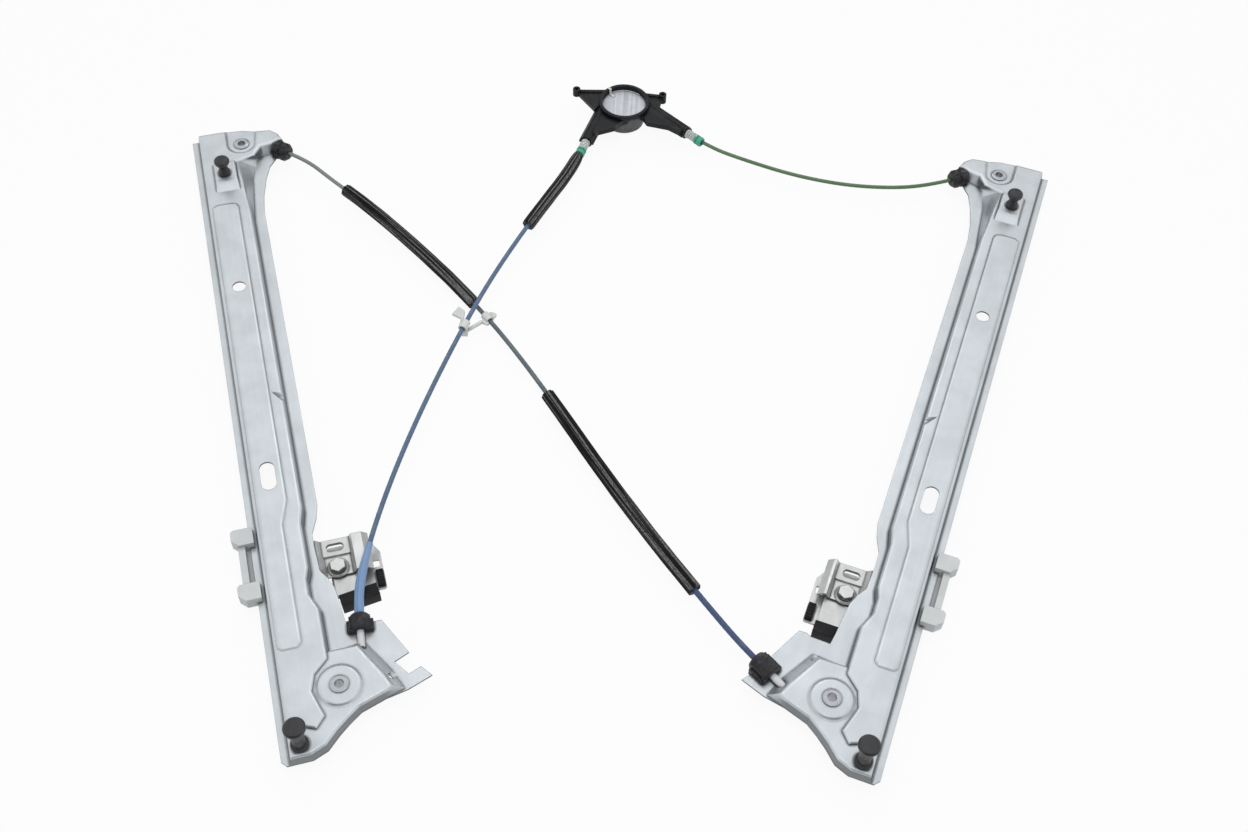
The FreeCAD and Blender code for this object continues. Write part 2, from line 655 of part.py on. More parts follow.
def clamp_bolt(clamp):
    place = (BOLT_PLACE[0], BOLT_PLACE[1] + clamp["shift"])
    seat = BRACKET_FLOOR + 1.5
    head = hexagon(place, BOLT_AF, seat + 1.0, seat + BOLT_HEAD)
    rim = cylinder(place, BOLT_RIM_R, seat, seat + 1.0)
    shank = cylinder(place, BOLT_R, SURFACE_Z + 0.4, seat)
    return fuse([head, rim, shank])


def cushion(clamp, seat):
    # The rubber block in which the lower edge of the glass stands, with a toothed side.
    left, right, low, high = clamp["cushion"]
    points = [(left, low), (right, low)]
    tooth = (high - low) / 5
    for turn in range(2):
        points += [(right, low + (2 * turn + 1) * tooth), (right - TOOTH, low + (2 * turn + 1.3) * tooth),
                   (right - TOOTH, low + (2 * turn + 1.8) * tooth), (right, low + (2 * turn + 2) * tooth)]
    points += [(right, high), (left, high)]
    body = prism(points, SURFACE_Z, CUSHION_TOP)
    body.rotate(vec((left + right) / 2, high - 3.0), vec(0, 0, 1), clamp["turn"])
    return body.cut(seat)


def side_pad(clamp):
    edge = clamp["plate"]
    top = BRACKET_FLOOR - BRACKET - GLASS_GAP
    low = clamp["cushion"][3] + 3.0
    return prism(rectangle(edge - 6.0, edge - 0.6, low, low + 13), top, top + 4.2, 1.8)


def anchor():
    v0, v1, low, high = ANCHOR
    body = prism(rectangle(v0, v1, low, high), BRACKET_TOP, ANCHOR_TOP, 1.5)
    return body.cut(box(CABLE_V - 1.3, CABLE_V + 1.3, low - 1, high + 1, CABLE_Z - 1.3, ANCHOR_TOP + 1))


def nipples():
    low = ANCHOR[2] - NIPPLE_LENGTH
    high = ANCHOR[3]
    ends = [rod((CABLE_V, start), 90, 0, NIPPLE_LENGTH, NIPPLE_R) for start in (low, high)]
    bore = rod((CABLE_V, low), 90, -1, high - low + NIPPLE_LENGTH + 2, CABLE_R + 0.35)
    return Part.makeCompound([end.cut(bore) for end in ends])


# Drum unit, drawn about the drum axis.

def drum_line(turn, side):
    return along((0, 0), turn + side * 90, DRUM_CABLE_R)


LEFT_DRUM_LINE = drum_line(LEFT_ARM_TURN, -1)
RIGHT_DRUM_LINE = drum_line(RIGHT_ARM_TURN, 1)


def cable_drum():
    turns = range(4)
    pitch = (DRUM_TOP - DRUM_BOTTOM - 2.4) / len(turns)
    profile = [(DRUM_SOCKET_R, SURFACE_Z + 1.5), (DRUM_HUB_R, SURFACE_Z + 1.5), (DRUM_HUB_R, DRUM_BOTTOM),
               (DRUM_LIP_R, DRUM_BOTTOM), (DRUM_LIP_R, DRUM_BOTTOM + 1.2)]
    for turn in turns:
        base = DRUM_BOTTOM + 1.2 + turn * pitch
        profile += [(DRUM_CABLE_R, base + 0.1), (DRUM_CABLE_R - CABLE_R, base + pitch / 2),
                    (DRUM_CABLE_R, base + pitch - 0.1)]
    profile += [(DRUM_LIP_R, DRUM_TOP - 1.2), (DRUM_LIP_R, DRUM_TOP), (0, DRUM_TOP),
                (0, DRUM_TOP - 3.0), (DRUM_SOCKET_R, DRUM_TOP - 3.0)]
    body = spun((0, 0), profile)
    for spline in range(6):
        place = along((0, 0), 60 * spline, DRUM_SOCKET_R)
        body = body.cut(cylinder(place, 0.7, SURFACE_Z, DRUM_TOP - 3.0))
    return body


def arm(line, turn, length):
    # A round conduit arm with a ledge along both sides.
    ledge = box(0, length, -ARM_R - ARM_LEDGE, ARM_R + ARM_LEDGE, CABLE_Z - 1.8, CABLE_Z + 0.2)
    ledge.rotate(vec(0, 0), vec(0, 0, 1), turn)
    ledge.translate(vec(line[0], line[1]))
    return [rod(line, turn, 0, length, ARM_R), ledge]


def screw_arm(boss, low, near, far):
    # A thin web with a rib on top, from the drum rim to the screw boss.
    web = prism([near, boss, far], WEB_LOW, WEB_HIGH)
    direction = math.degrees(math.atan2(boss[1] - near[1], boss[0] - near[0]))
    reach = math.hypot(boss[0] - near[0], boss[1] - near[1])
    rib = box(0, reach, -1.3, 1.3, WEB_LOW, BOSS_TOP - 2.0)
    rib.rotate(vec(0, 0), vec(0, 0, 1), direction)
    rib.translate(vec(near[0], near[1]))
    return [web, rib, cylinder(boss, BOSS_R, low, BOSS_TOP)]


def drum_housing():
    # The rim round the cover with its arms; the can below it holds the drum.
    rim = cylinder((0, 0), RIM_R, RIM_LOW, RIM_TOP)
    rim = rim.makeFillet(0.8, [e for e in rim.Edges if abs(e.BoundBox.ZMin - RIM_TOP) < 0.01
                               and abs(e.BoundBox.ZMax - RIM_TOP) < 0.01 and e.Closed])
    parts = [rim, cylinder((0, 0), NECK_R, NECK_LOW, RIM_LOW)]
    parts += arm(LEFT_DRUM_LINE, LEFT_ARM_TURN, LEFT_ARM_LENGTH)
    parts += arm(RIGHT_DRUM_LINE, RIGHT_ARM_TURN, RIGHT_ARM_LENGTH)
    parts += screw_arm(LEFT_BOSS, LEFT_BOSS_LOW, (-12, 15), (-27, -10))
    parts += screw_arm(RIGHT_BOSS, RIGHT_BOSS_LOW, (15, 13), (32, -8))
    parts.append(prism([(-26.5, -44), (-22.2, -37.7), (-13.2, -33.8), (-7.2, -31.1), (-0.7, -22.8),
                        (7.6, -18.9), (6, -10), (-10, -6), (-24, -10)], GUSSET_LOW, GUSSET_HIGH, 3.0))
    parts.append(prism([(12, -12), (18.3, -16.3), (21.6, -22.5), (41.6, -26.8), (52.5, -34), (54, -31),
                        (14, 8)], GUSSET_LOW, GUSSET_HIGH, 3.0))
    body = fuse(parts)
    tools = [cylinder((0, 0), CAVITY_R, CAN_BOTTOM, RIM_TOP + 1),
             cylinder((0, 0), COVER_R + LAP, COVER_TOP - COVER, RIM_TOP + 1),
             rod(LEFT_DRUM_LINE, LEFT_ARM_TURN, 0, LEFT_ARM_LENGTH + 1, SPRING_R - 1.0),
             rod(RIGHT_DRUM_LINE, RIGHT_ARM_TURN, 0, RIGHT_ARM_LENGTH + 1, SPRING_R - 1.0),
             cylinder(LEFT_BOSS, SCREW_R, CAN_BOTTOM, BOSS_TOP + 1),
             cylinder(RIGHT_BOSS, SCREW_R, CAN_BOTTOM, BOSS_TOP + 1)]
    for tool in tools:
        body = body.cut(tool)
    return body.removeSplitter()


def drum_cover():
    return cylinder((0, 0), COVER_R, COVER_TOP - COVER, COVER_TOP)


def cover_tab():
    # A strip that lies on the cover, climbs the rim and ends on top of it.
    thick = 0.4
    strip = fuse([box(-1.2, 1.2, 14.5, COVER_R - thick, COVER_TOP, COVER_TOP + thick),
                  box(-1.2, 1.2, COVER_R - 2 * thick, COVER_R - thick, COVER_TOP, RIM_TOP + thick),
                  box(-1.2, 1.2, COVER_R - 2 * thick, RIM_R - 0.4, RIM_TOP, RIM_TOP + thick)])
    strip.rotate(vec(0, 0), vec(0, 0, 1), 42)
    return strip


def bearing_sleeve(housing):
    # The grey can round the drum, with the collar below in which the hub of the drum turns.
    bore = DRUM_HUB_R + 0.4
    top = COVER_TOP - COVER - LAP
    can = spun((0, 0), [(bore, COLLAR_BOTTOM), (COLLAR_R - 0.8, COLLAR_BOTTOM),
                        (COLLAR_R, COLLAR_BOTTOM + 0.8), (COLLAR_R, CAN_BOTTOM), (CAN_R, CAN_BOTTOM + 0.8),
                        (CAN_R, top), (CAVITY_R, top), (CAVITY_R, CAN_FLOOR), (bore, CAN_FLOOR)])
    can = can.cut(rod(LEFT_DRUM_LINE, LEFT_ARM_TURN, 0, CAN_R, SPRING_R - 1.0))
    can = can.cut(rod(RIGHT_DRUM_LINE, RIGHT_ARM_TURN, 0, CAN_R, SPRING_R - 1.0))
    return can.cut(housing)


def tension_spring(line, turn, length):
    # The clear ribbed sleeve with the spring that keeps the conduit tight.
    profile = [(CONDUIT_R + LAP, 0), (SPRING_R - 0.6, 0)]
    ribs = 5
    pitch = SPRING_LENGTH / ribs
    for rib in range(ribs):
        base = rib * pitch
        profile += [(SPRING_R, base + 0.25 * pitch), (SPRING_R, base + 0.65 * pitch),
                    (SPRING_R - 0.9, base + 0.9 * pitch)]
    profile += [(SPRING_R - 0.9, SPRING_LENGTH), (CONDUIT_R + LAP, SPRING_LENGTH)]
    return bar(line, turn, length, profile)


def ferrule(line, turn, length):
    return bar(line, turn, length + SPRING_LENGTH, [
        (CONDUIT_R + LAP, 0), (FERRULE_R - 0.7, 0), (FERRULE_R, 0.7), (FERRULE_R, 2.0),
        (FERRULE_R - 0.9, 2.5), (FERRULE_R - 0.9, 3.3), (FERRULE_R, 3.8),
        (FERRULE_R, FERRULE_LENGTH - 0.7), (FERRULE_R - 1.0, FERRULE_LENGTH),
        (CONDUIT_R + LAP, FERRULE_LENGTH)])


def drum_cable(line, turn, length):
    start = math.sqrt(DRUM_LIP_R ** 2 - DRUM_CABLE_R ** 2) + SIDE_PLAY
    return rod(line, turn, start, length - CONDUIT_SEAT, CABLE_R)


# Placing.

def on_rail(shape, side):
    placed = shape.copy()
    if side == "right":
        placed = placed.mirror(vec(0, 0), vec(1, 0))
    place, tilt = (LEFT_PLACE, LEFT_TILT) if side == "left" else (RIGHT_PLACE, RIGHT_TILT)
    placed.rotate(vec(0, 0), vec(0, 0, 1), tilt)
    placed.translate(vec(place[0], place[1]))
    return placed


def rail_point(point, side, z=CABLE_Z):
    spot = on_rail(Part.Vertex(point[0], point[1], z), side)
    return spot.Point


def at_drum(shape):
    placed = shape.copy()
    placed.translate(vec(DRUM_PLACE[0], DRUM_PLACE[1]))
    return placed


# Conduits: routes of points chosen by hand, with straight runs joined by arcs.

def route_arcs(points):
    arcs = []
    for index in range(1, len(points) - 1):
        arcs.append(corner(points[index - 1], points[index], points[index + 1], 1e6, 0.45))
    return arcs


def station(points, run, distance=None):
    # A place on one run of a route: at a distance from the start of the run, or at its middle.
    step = points[run + 1] - points[run]
    share = 0.5 if distance is None else distance / step.Length
    return run, points[run] + step * share


def stretch(points, start=None, end=None):
    # The line of a route between two stations, or its whole line.
    arcs = route_arcs(points)
    first, spot = start or (0, points[0])
    last, stop = end or (len(arcs), points[-1])
    edges = []
    for arc in arcs[first:last]:
        edges.append(Part.LineSegment(spot, arc[0]).toShape())
        edges.append(Part.Arc(arc[0], arc[1], arc[2]).toShape())
        spot = arc[2]
    edges.append(Part.LineSegment(spot, stop).toShape())
    return Part.Wire(edges)


def conduit(points):
    return tube(stretch(points), CONDUIT_R)


def sleeve(points, radius, start, end):
    path = stretch(points, start, end)
    return tube(path, radius).cut(tube(path, CONDUIT_R + LAP))


def head_end(side, length):
    return rail_point(along(HEAD_LINE, HEAD_EXIT, HEAD_SEAT + HEAD_CAP_LENGTH + length), side)


def foot_end(line, angle, seat, side, length):
    return rail_point(along(line, angle, seat + length), side)


def drum_end(line, turn, length, reach):
    spot = along(line, turn, length + reach)
    return vec(DRUM_PLACE[0] + spot[0], DRUM_PLACE[1] + spot[1], CABLE_Z)


def cross_route():
    foot = (FOOT_SIDE_LINE, FOOT_SIDE_EXIT, FOOT_SIDE_SEAT + FOOT_SIDE_CONNECTOR, "right")
    return [head_end("left", -CONDUIT_SEAT), head_end("left", 17.0), vec(-266.2, 251, -8.3),
            vec(-241, 231.5, -9.6), vec(-207.5, 202.5, -11.8), vec(-175.5, 172, -14.3),
            vec(-144.5, 140.3, -16.0), vec(-109, 98, -16.3), vec(-76.5, 52.5, -16.0),
            vec(-46.5, 6.5, -15.3), vec(-18.5, -38, -14.3), vec(10.5, -81.5, -13.0),
            vec(41, -125, -11.3), vec(72, -167, -9.2), foot_end(*foot, 14.0),
            foot_end(*foot, -CONDUIT_SEAT)]


def left_foot_route():
    arm_end = (LEFT_DRUM_LINE, LEFT_ARM_TURN, LEFT_ARM_LENGTH)
    foot = (FOOT_UP_LINE, FOOT_UP_EXIT, FOOT_UP_SEAT + FOOT_UP_CONNECTOR, "left")
    return [drum_end(*arm_end, -CONDUIT_SEAT), drum_end(*arm_end, LEFT_DRUM_LEAD),
            vec(-80, 230, CABLE_Z), vec(-100.5, 184, CABLE_Z), vec(-122, 128.5, CABLE_Z),
            vec(-140.2, 69.5, CABLE_Z), vec(-156.5, 10, CABLE_Z), vec(-169.7, -47, CABLE_Z),
            vec(-178, -100, CABLE_Z), vec(-181.8, -142, CABLE_Z), foot_end(*foot, 15.0),
            foot_end(*foot, -CONDUIT_SEAT)]


def right_head_route():
    arm_end = (RIGHT_DRUM_LINE, RIGHT_ARM_TURN, RIGHT_ARM_LENGTH)
    return [drum_end(*arm_end, -CONDUIT_SEAT), drum_end(*arm_end, RIGHT_DRUM_LEAD),
            vec(100.3, 299.5, CABLE_Z), vec(144.3, 282.8, CABLE_Z), vec(191, 273.3, CABLE_Z),
            vec(236, 273.3, CABLE_Z), head_end("right", 17.0), head_end("right", -CONDUIT_SEAT)]


def ring_at(spot, along_run):
    start = spot - along_run * (CLIP_LENGTH / 2)
    return Part.makeCylinder(CONDUIT_R + CLIP_WALL, CLIP_LENGTH, start, along_run)


def crossing_clip(cross, left_foot):
    # Two collars on one small frame, with a finger tab beside each.
    upper = station(left_foot, 4, UPPER_CLIP_RUN)[1]
    lower = station(cross, 6, LOWER_CLIP_RUN)[1]
    over = ring_at(upper, (left_foot[5] - left_foot[4]).normalize())
    under = ring_at(lower, (cross[7] - cross[6]).normalize())
    low = lower.z - 1.2
    high = lower.z + 1.2
    bridge = prism([(upper.x - 1, upper.y - 1.5), (lower.x + 1, lower.y - 1.5),
                    (lower.x + 1, lower.y + 1.5), (upper.x - 1, upper.y + 1.5)], low, high)
    post = box(upper.x - 2.5, upper.x + 2.5, upper.y - 3, upper.y + 3, low, CABLE_Z)
    tab = prism([(upper.x - 1, upper.y + 1), (upper.x - 1, upper.y + 15), (upper.x - 6.5, upper.y + 19),
                 (upper.x - 11, upper.y + 11), (upper.x - 3, upper.y + 7), (upper.x - 4, upper.y)],
                CABLE_Z - 1.2, CABLE_Z + 1.2)
    wing = prism([(lower.x - 4, lower.y - 6), (lower.x + 1, lower.y - 8),
                  (lower.x + 8, lower.y + 4), (lower.x + 2, lower.y + 6)], low, high, 1.5)
    body = fuse([over, under, bridge, post, tab, wing])
    for route in (cross, left_foot):
        body = body.cut(tube(stretch(route, station(route, 3), station(route, 7)), CONDUIT_R + LAP))
    return body.removeSplitter()


def carrier_nodes(side, clamp):
    frame = bracket(clamp)
    plate = clamp_plate(clamp)
    return {
        side + "_guide": on_rail(guide(), side),
        side + "_bracket": on_rail(frame, side),
        side + "_clamp_plate": on_rail(plate, side),
        side + "_clamp_bolt": on_rail(clamp_bolt(clamp), side),
        side + "_cushion": on_rail(cushion(clamp, frame.fuse(plate)), side),
        side + "_side_pad": on_rail(side_pad(clamp), side),
        side + "_cable_anchor": on_rail(anchor(), side),
        side + "_cable_nipples": on_rail(nipples(), side),
    }


def rail_nodes(side, rail_shape, foot_line, foot_exit, foot_seat, length):
    nodes = {
        side + "_rail": on_rail(rail_shape, side),
        side + "_foot_rivet": on_rail(hollow_rivet(FOOT_AXLE), side),
        side + "_head_rivet": on_rail(hollow_rivet(HEAD_AXLE), side),
        side + "_foot_pulley": on_rail(pulley(FOOT_AXLE), side),
        side + "_head_pulley": on_rail(pulley(HEAD_AXLE), side),
        side + "_foot_stud": on_rail(foot_stud(), side),
        side + "_head_stud": on_rail(head_stud(), side),
        side + "_rail_cable": on_rail(rail_cable(foot_line, foot_exit), side),
        side + "_head_cap": on_rail(head_cap(rail_shape), side),
        side + "_foot_connector": on_rail(connector(foot_line, foot_exit, foot_seat, length, rail_shape), side),
        side + "_foot_spout": on_rail(spout(foot_line, foot_exit, foot_seat), side),
    }
    return nodes


def drum_nodes():
    housing = drum_housing()
    nodes = {
        "drum_housing": at_drum(housing),
        "drum_cover": at_drum(drum_cover()),
        "cover_tab": at_drum(cover_tab()),
        "bearing_sleeve": at_drum(bearing_sleeve(housing)),
        "cable_drum": at_drum(cable_drum()),
    }
    arms = {"left": (LEFT_DRUM_LINE, LEFT_ARM_TURN, LEFT_ARM_LENGTH),
            "right": (RIGHT_DRUM_LINE, RIGHT_ARM_TURN, RIGHT_ARM_LENGTH)}
    routes = {"left": left_foot_route(), "right": right_head_route()}
    for side, values in arms.items():
        bore = tube(stretch(routes[side], None, station(routes[side], 1)), CONDUIT_R + LAP)
        nodes[side + "_tension_spring"] = at_drum(tension_spring(*values))
        nodes[side + "_ferrule"] = at_drum(ferrule(*values)).cut(bore)
        nodes[side + "_drum_cable"] = at_drum(drum_cable(*values))
    return nodes


def conduit_nodes():
    cross = cross_route()
    left_foot = left_foot_route()
    right_head = right_head_route()
    for name, route in (("cross", cross), ("left foot", left_foot), ("right head", right_head)):
        print_route(name, route)
    ferrule_end = CONDUIT_SEAT + SPRING_LENGTH + FERRULE_LENGTH
    connector_end = (left_foot[-1] - left_foot[-2]).Length - CONDUIT_SEAT
    return {
        "cross_conduit": conduit(cross),
        "left_foot_conduit": conduit(left_foot),
        "right_head_conduit": conduit(right_head),
        "cross_upper_foam": sleeve(cross, FOAM_R, station(cross, 2),
                                   station(cross, 6, LOWER_CLIP_RUN - CLIP_LENGTH / 2 - 2.0)),
        "cross_lower_foam": sleeve(cross, FOAM_R, station(cross, 8), station(cross, 12)),
        "drum_foam": sleeve(left_foot, FOAM_R, station(left_foot, 0, ferrule_end),
                            station(left_foot, 2)),
        "guard_sleeve": sleeve(left_foot, GUARD_R, station(left_foot, 8),
                               station(left_foot, 10, connector_end)),
        "crossing_clip": crossing_clip(cross, left_foot),
    }


def print_route(name, route):
    # The length of a route and the radius of each of its arcs, with the section check.
    path = stretch(route)
    radii = [round(edge.Curve.Radius) for edge in path.Edges if edge.Curve.TypeId == "Part::GeomCircle"]
    volume = conduit(route).Volume
    print(name, "length", round(path.Length, 1), "radii", radii,
          "volume share", round(volume / (path.Length * math.pi * CONDUIT_R ** 2), 4))


def centred(nodes):
    # Moves the whole so that the origin is at the middle of the underside.
    room = Part.makeCompound(list(nodes.values())).BoundBox
    shift = vec(-room.Center.x, -room.Center.y, -room.ZMin)
    print("shift", round(shift.x, 3), round(shift.y, 3), round(shift.z, 3))
    for shape in nodes.values():
        shape.translate(shift)
    return nodes


def main():
    os.makedirs("parts", exist_ok=True)
    rail_shape = rail()
    nodes = {}
    nodes.update(rail_nodes("left", rail_shape, FOOT_UP_LINE, FOOT_UP_EXIT, FOOT_UP_SEAT,
                            FOOT_UP_CONNECTOR))
    nodes.update(rail_nodes("right", rail_shape, FOOT_SIDE_LINE, FOOT_SIDE_EXIT,
                            FOOT_SIDE_SEAT, FOOT_SIDE_CONNECTOR))
    nodes.update(carrier_nodes("left", LEFT_CLAMP))
    nodes.update(carrier_nodes("right", RIGHT_CLAMP))
    nodes.update(drum_nodes())
    nodes.update(conduit_nodes())
    centred(nodes)
    for name, shape in nodes.items():
        print(name, shape.isValid(), len(shape.Solids), round(shape.Volume, 1))
        shape.exportStep("parts/" + name + ".step")


main()
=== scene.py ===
# Looks of the double-rail cable window regulator: finishes of every pressed, moulded and
# turned piece, and the conduits, sleeves, springs and rubber pieces as meshes of their own.
# All lengths are metres.

import json
import logging
import math
from bisect import bisect_left
from dataclasses import dataclass
from enum import Enum
from typing import Callable

import bmesh
import bpy
from mathutils import Matrix, Vector, noise

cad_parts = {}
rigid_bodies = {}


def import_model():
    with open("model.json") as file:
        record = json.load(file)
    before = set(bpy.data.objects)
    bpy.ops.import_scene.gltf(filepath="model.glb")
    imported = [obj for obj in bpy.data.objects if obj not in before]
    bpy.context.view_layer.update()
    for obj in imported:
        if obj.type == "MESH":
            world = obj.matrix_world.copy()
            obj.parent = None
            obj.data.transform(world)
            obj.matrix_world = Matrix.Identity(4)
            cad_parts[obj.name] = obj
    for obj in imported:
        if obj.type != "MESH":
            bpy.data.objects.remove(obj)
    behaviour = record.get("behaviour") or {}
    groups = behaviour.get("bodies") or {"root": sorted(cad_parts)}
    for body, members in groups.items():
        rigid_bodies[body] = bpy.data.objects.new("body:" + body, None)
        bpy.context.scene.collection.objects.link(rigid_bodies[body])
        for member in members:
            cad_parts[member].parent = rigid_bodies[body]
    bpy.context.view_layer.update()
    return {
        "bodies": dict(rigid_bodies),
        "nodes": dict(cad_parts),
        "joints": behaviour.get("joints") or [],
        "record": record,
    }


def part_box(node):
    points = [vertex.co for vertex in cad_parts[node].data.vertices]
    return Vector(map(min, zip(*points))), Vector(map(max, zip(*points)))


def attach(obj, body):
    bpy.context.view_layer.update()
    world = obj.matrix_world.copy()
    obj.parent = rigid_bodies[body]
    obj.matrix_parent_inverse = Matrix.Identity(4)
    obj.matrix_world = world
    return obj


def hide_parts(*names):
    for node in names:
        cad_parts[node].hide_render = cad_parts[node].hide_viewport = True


MM = 0.001
WHITE = (1.0, 1.0, 1.0)
Color = tuple[float, float, float]
Place = tuple[float, float, float]
log = logging.getLogger("regulator")

# Camera of the photograph.
CAMERA_PLACE = (0.0135, -0.7216, 0.9263)
CAMERA_FORWARD = (0.0, 0.59972, -0.80021)
CAMERA_ROLL = 2.61
CAMERA_LENS = 41.83
SENSOR_WIDTH = 36.0

# Routes of the conduits: the same points as the solid tubes have.
CROSS_ROUTE = [
    (-0.3010, 0.2369, 0.0189), (-0.2811, 0.2287, 0.0189), (-0.2527, 0.2041, 0.0177),
    (-0.2275, 0.1846, 0.0164), (-0.1940, 0.1556, 0.0142), (-0.1620, 0.1251, 0.0117),
    (-0.1310, 0.0934, 0.0100), (-0.0955, 0.0511, 0.0097), (-0.0630, 0.0056, 0.0100),
    (-0.0330, -0.0404, 0.0107), (-0.0050, -0.0849, 0.0117), (0.0240, -0.1284, 0.0130),
    (0.0545, -0.1719, 0.0147), (0.0855, -0.2139, 0.0168), (0.1032, -0.2375, 0.0189),
    (0.1158, -0.2510, 0.0189)]
LEFT_FOOT_ROUTE = [
    (-0.0310, 0.2722, 0.0189), (-0.0433, 0.2321, 0.0189), (-0.0665, 0.1831, 0.0189),
    (-0.0870, 0.1371, 0.0189), (-0.1085, 0.0816, 0.0189), (-0.1267, 0.0226, 0.0189),
    (-0.1430, -0.0369, 0.0189), (-0.1562, -0.0939, 0.0189), (-0.1655, -0.1469, 0.0189),
    (-0.1697, -0.1889, 0.0189), (-0.1695, -0.2136, 0.0189), (-0.1654, -0.2327, 0.0189)]
RIGHT_HEAD_ROUTE = [
    (0.0561, 0.2889, 0.0189), (0.0784, 0.2689, 0.0189), (0.1138, 0.2526, 0.0189),
    (0.1578, 0.2359, 0.0189), (0.2045, 0.2264, 0.0189), (0.2495, 0.2264, 0.0189),
    (0.2809, 0.2334, 0.0189), (0.3009, 0.2414, 0.0189)]

# The conduits: the radius of the solid and of each jacket, and how deep the ends sit.
CONDUIT_R = 2.3 * MM
PALE_R = 1.75 * MM
SLIM_R = 1.95 * MM
NAVY_R = 2.25 * MM
GREEN_R = 1.7 * MM
CONDUIT_SEAT = 4.5 * MM
SPRING_LENGTH = 11.0 * MM
FERRULE_LENGTH = 7.5 * MM
SLEEVE_BORE = CONDUIT_R + 0.08 * MM

# In the middle of which runs of their routes the looks of the long conduit change, and the
# foams and the guard start and end.
LOOK_RUNS = (4, 10)
UPPER_FOAM_RUNS = (2, 6)
LOWER_FOAM_RUNS = (8, 12)
DRUM_FOAM_RUN = 2
GUARD_RUN = 8

# How far the upper foam ends before the middle of its run, and how much the drum foam is
# pressed in at its start.
UPPER_FOAM_SHORT = 4.5 * MM
DRUM_FOAM_NECK = 1.3 * MM

# The cushions from above, as left, right, low and high in the frame of their rail, and the
# right edges of the side pads.
LEFT_CUSHION = (11.5 * MM, 39.5 * MM, 69.5 * MM, 79.0 * MM)
LEFT_CUSHION_TURN = math.radians(8.0)
LEFT_PAD_RIGHT = 45.4 * MM
RIGHT_CUSHION = (12.0 * MM, 29.0 * MM, 53.0 * MM, 62.5 * MM)
RIGHT_PAD_RIGHT = 37.4 * MM

# From which angle in degrees the edges of tubes and of rubber pieces stay sharp.
TUBE_SHARP = 50.0
RUBBER_SHARP = 40.0


class Side(Enum):
    """The two sides of the regulator."""

    LEFT = "left"
    RIGHT = "right"


class Ray(Enum):
    """The kinds of ray that see the white studio instead of its light."""

    CAMERA = "Is Camera Ray"
    GLOSSY = "Is Glossy Ray"
    TRANSMISSION = "Is Transmission Ray"


class Graph:
    """A node tree with short ways to add and link nodes."""

    def __init__(self, tree: bpy.types.NodeTree) -> None:
        """Keeps the tree that the nodes go to."""
        self.tree = tree

    def fill(self, node: bpy.types.Node, inputs: dict[str | int, object]) -> bpy.types.Node:
        """Sets or links inputs of a node.

        Args:
            node: The node.
            inputs: A value or an output socket for each input named or numbered.

        Returns:
            The same node.
        """
        for socket, value in inputs.items():
            if isinstance(value, bpy.types.NodeSocket):
                self.tree.links.new(value, node.inputs[socket])
            else:
                node.inputs[socket].default_value = value
        return node

    def add(self, kind: str, inputs: dict[str | int, object] | None = None,
            **options: object) -> bpy.types.Node:
        """Adds a node.

        Args:
            kind: The node's type without its "ShaderNode" start.
            inputs: A value or an output socket for each input named or numbered.
            options: Settings of the node itself.

        Returns:
            The new node.
        """
        node = self.tree.nodes.new("ShaderNode" + kind)
        for option, value in options.items():
            setattr(node, option, value)
        return self.fill(node, inputs or {})

    def math(self, operation: str, first: object, second: object) -> bpy.types.NodeSocket:
        """Adds a sum, product or other operation on two values.

        Args:
            operation: The operation's name.
            first: A value or socket.
            second: A value or socket.

        Returns:
            The socket with the result.
        """
        return self.add("Math", {0: first, 1: second}, operation=operation).outputs[0]

    def mix(self, share: object, first: object, second: object) -> bpy.types.NodeSocket:
        """Mixes two colours.

        Args:
            share: How much of the second colour.
            first: A colour or socket.
            second: A colour or socket.

        Returns:
            The socket with the mixed colour.
        """
        node = self.add("Mix", data_type="RGBA")
        return self.fill(node, {0: share, 6: first, 7: second}).outputs[2]

    def lay(self, effect: bpy.types.Node, share: float, below: object,
            above: Color) -> bpy.types.NodeSocket:
        """Lays a colour over another where an effect's mask is.

        Args:
            effect: The effect's group node.
            share: How much of the new colour where the mask is full.
            below: The socket with the first colour.
            above: The new colour.

        Returns:
            The socket with the mixed colour.
        """
        return self.mix(self.math("MULTIPLY", effect.outputs["Mask"], share), below, color4(above))

    def ramp(self, value: object, low: object, high: object, start: float = 0.0,
             end: float = 1.0) -> bpy.types.NodeSocket:
        """Maps a value from one range to another, clamped and smooth.

        Args:
            value: A value or socket.
            low: The value or socket that gives the start.
            high: The value or socket that gives the end.
            start: The result at the low end.
            end: The result at the high end.

        Returns:
            The socket with the result.
        """
        inputs = {"Value": value, "From Min": low, "From Max": high, "To Min": start, "To Max": end}
        return self.add("MapRange", inputs, interpolation_type="SMOOTHSTEP").outputs["Result"]

    def spots(self, scale: object, detail: float, place: object = None,
              roughness: float = 0.5) -> bpy.types.NodeSocket:
        """Adds noise.

        Args:
            scale: How fine it is.
            detail: How many finer layers it has.
            place: The socket with the place, or None for the object's own.
            roughness: How strong the finer layers are.

        Returns:
            The socket with the noise.
        """
        where = self.place() if place is None else place
        inputs = {"Vector": where, "Scale": scale, "Detail": detail, "Roughness": roughness}
        return self.add("TexNoise", inputs).outputs["Fac"]

    def place(self) -> bpy.types.NodeSocket:
        """The place in the object's own frame."""
        return self.add("TexCoord").outputs["Object"]

    def upward(self) -> bpy.types.NodeSocket:
        """How far the surface faces up, from -1 to 1."""
        return self.add("SeparateXYZ", {0: self.add("NewGeometry").outputs["Normal"]}).outputs["Z"]

    def stretched(self, place: object, scale: object) -> bpy.types.NodeSocket:
        """A place with each axis scaled."""
        return self.add("VectorMath", {0: place, 1: scale}, operation="MULTIPLY").outputs[0]


def color4(color: Color) -> tuple[float, float, float, float]:
    """The colour with an alpha of 1."""
    return (*color, 1.0)


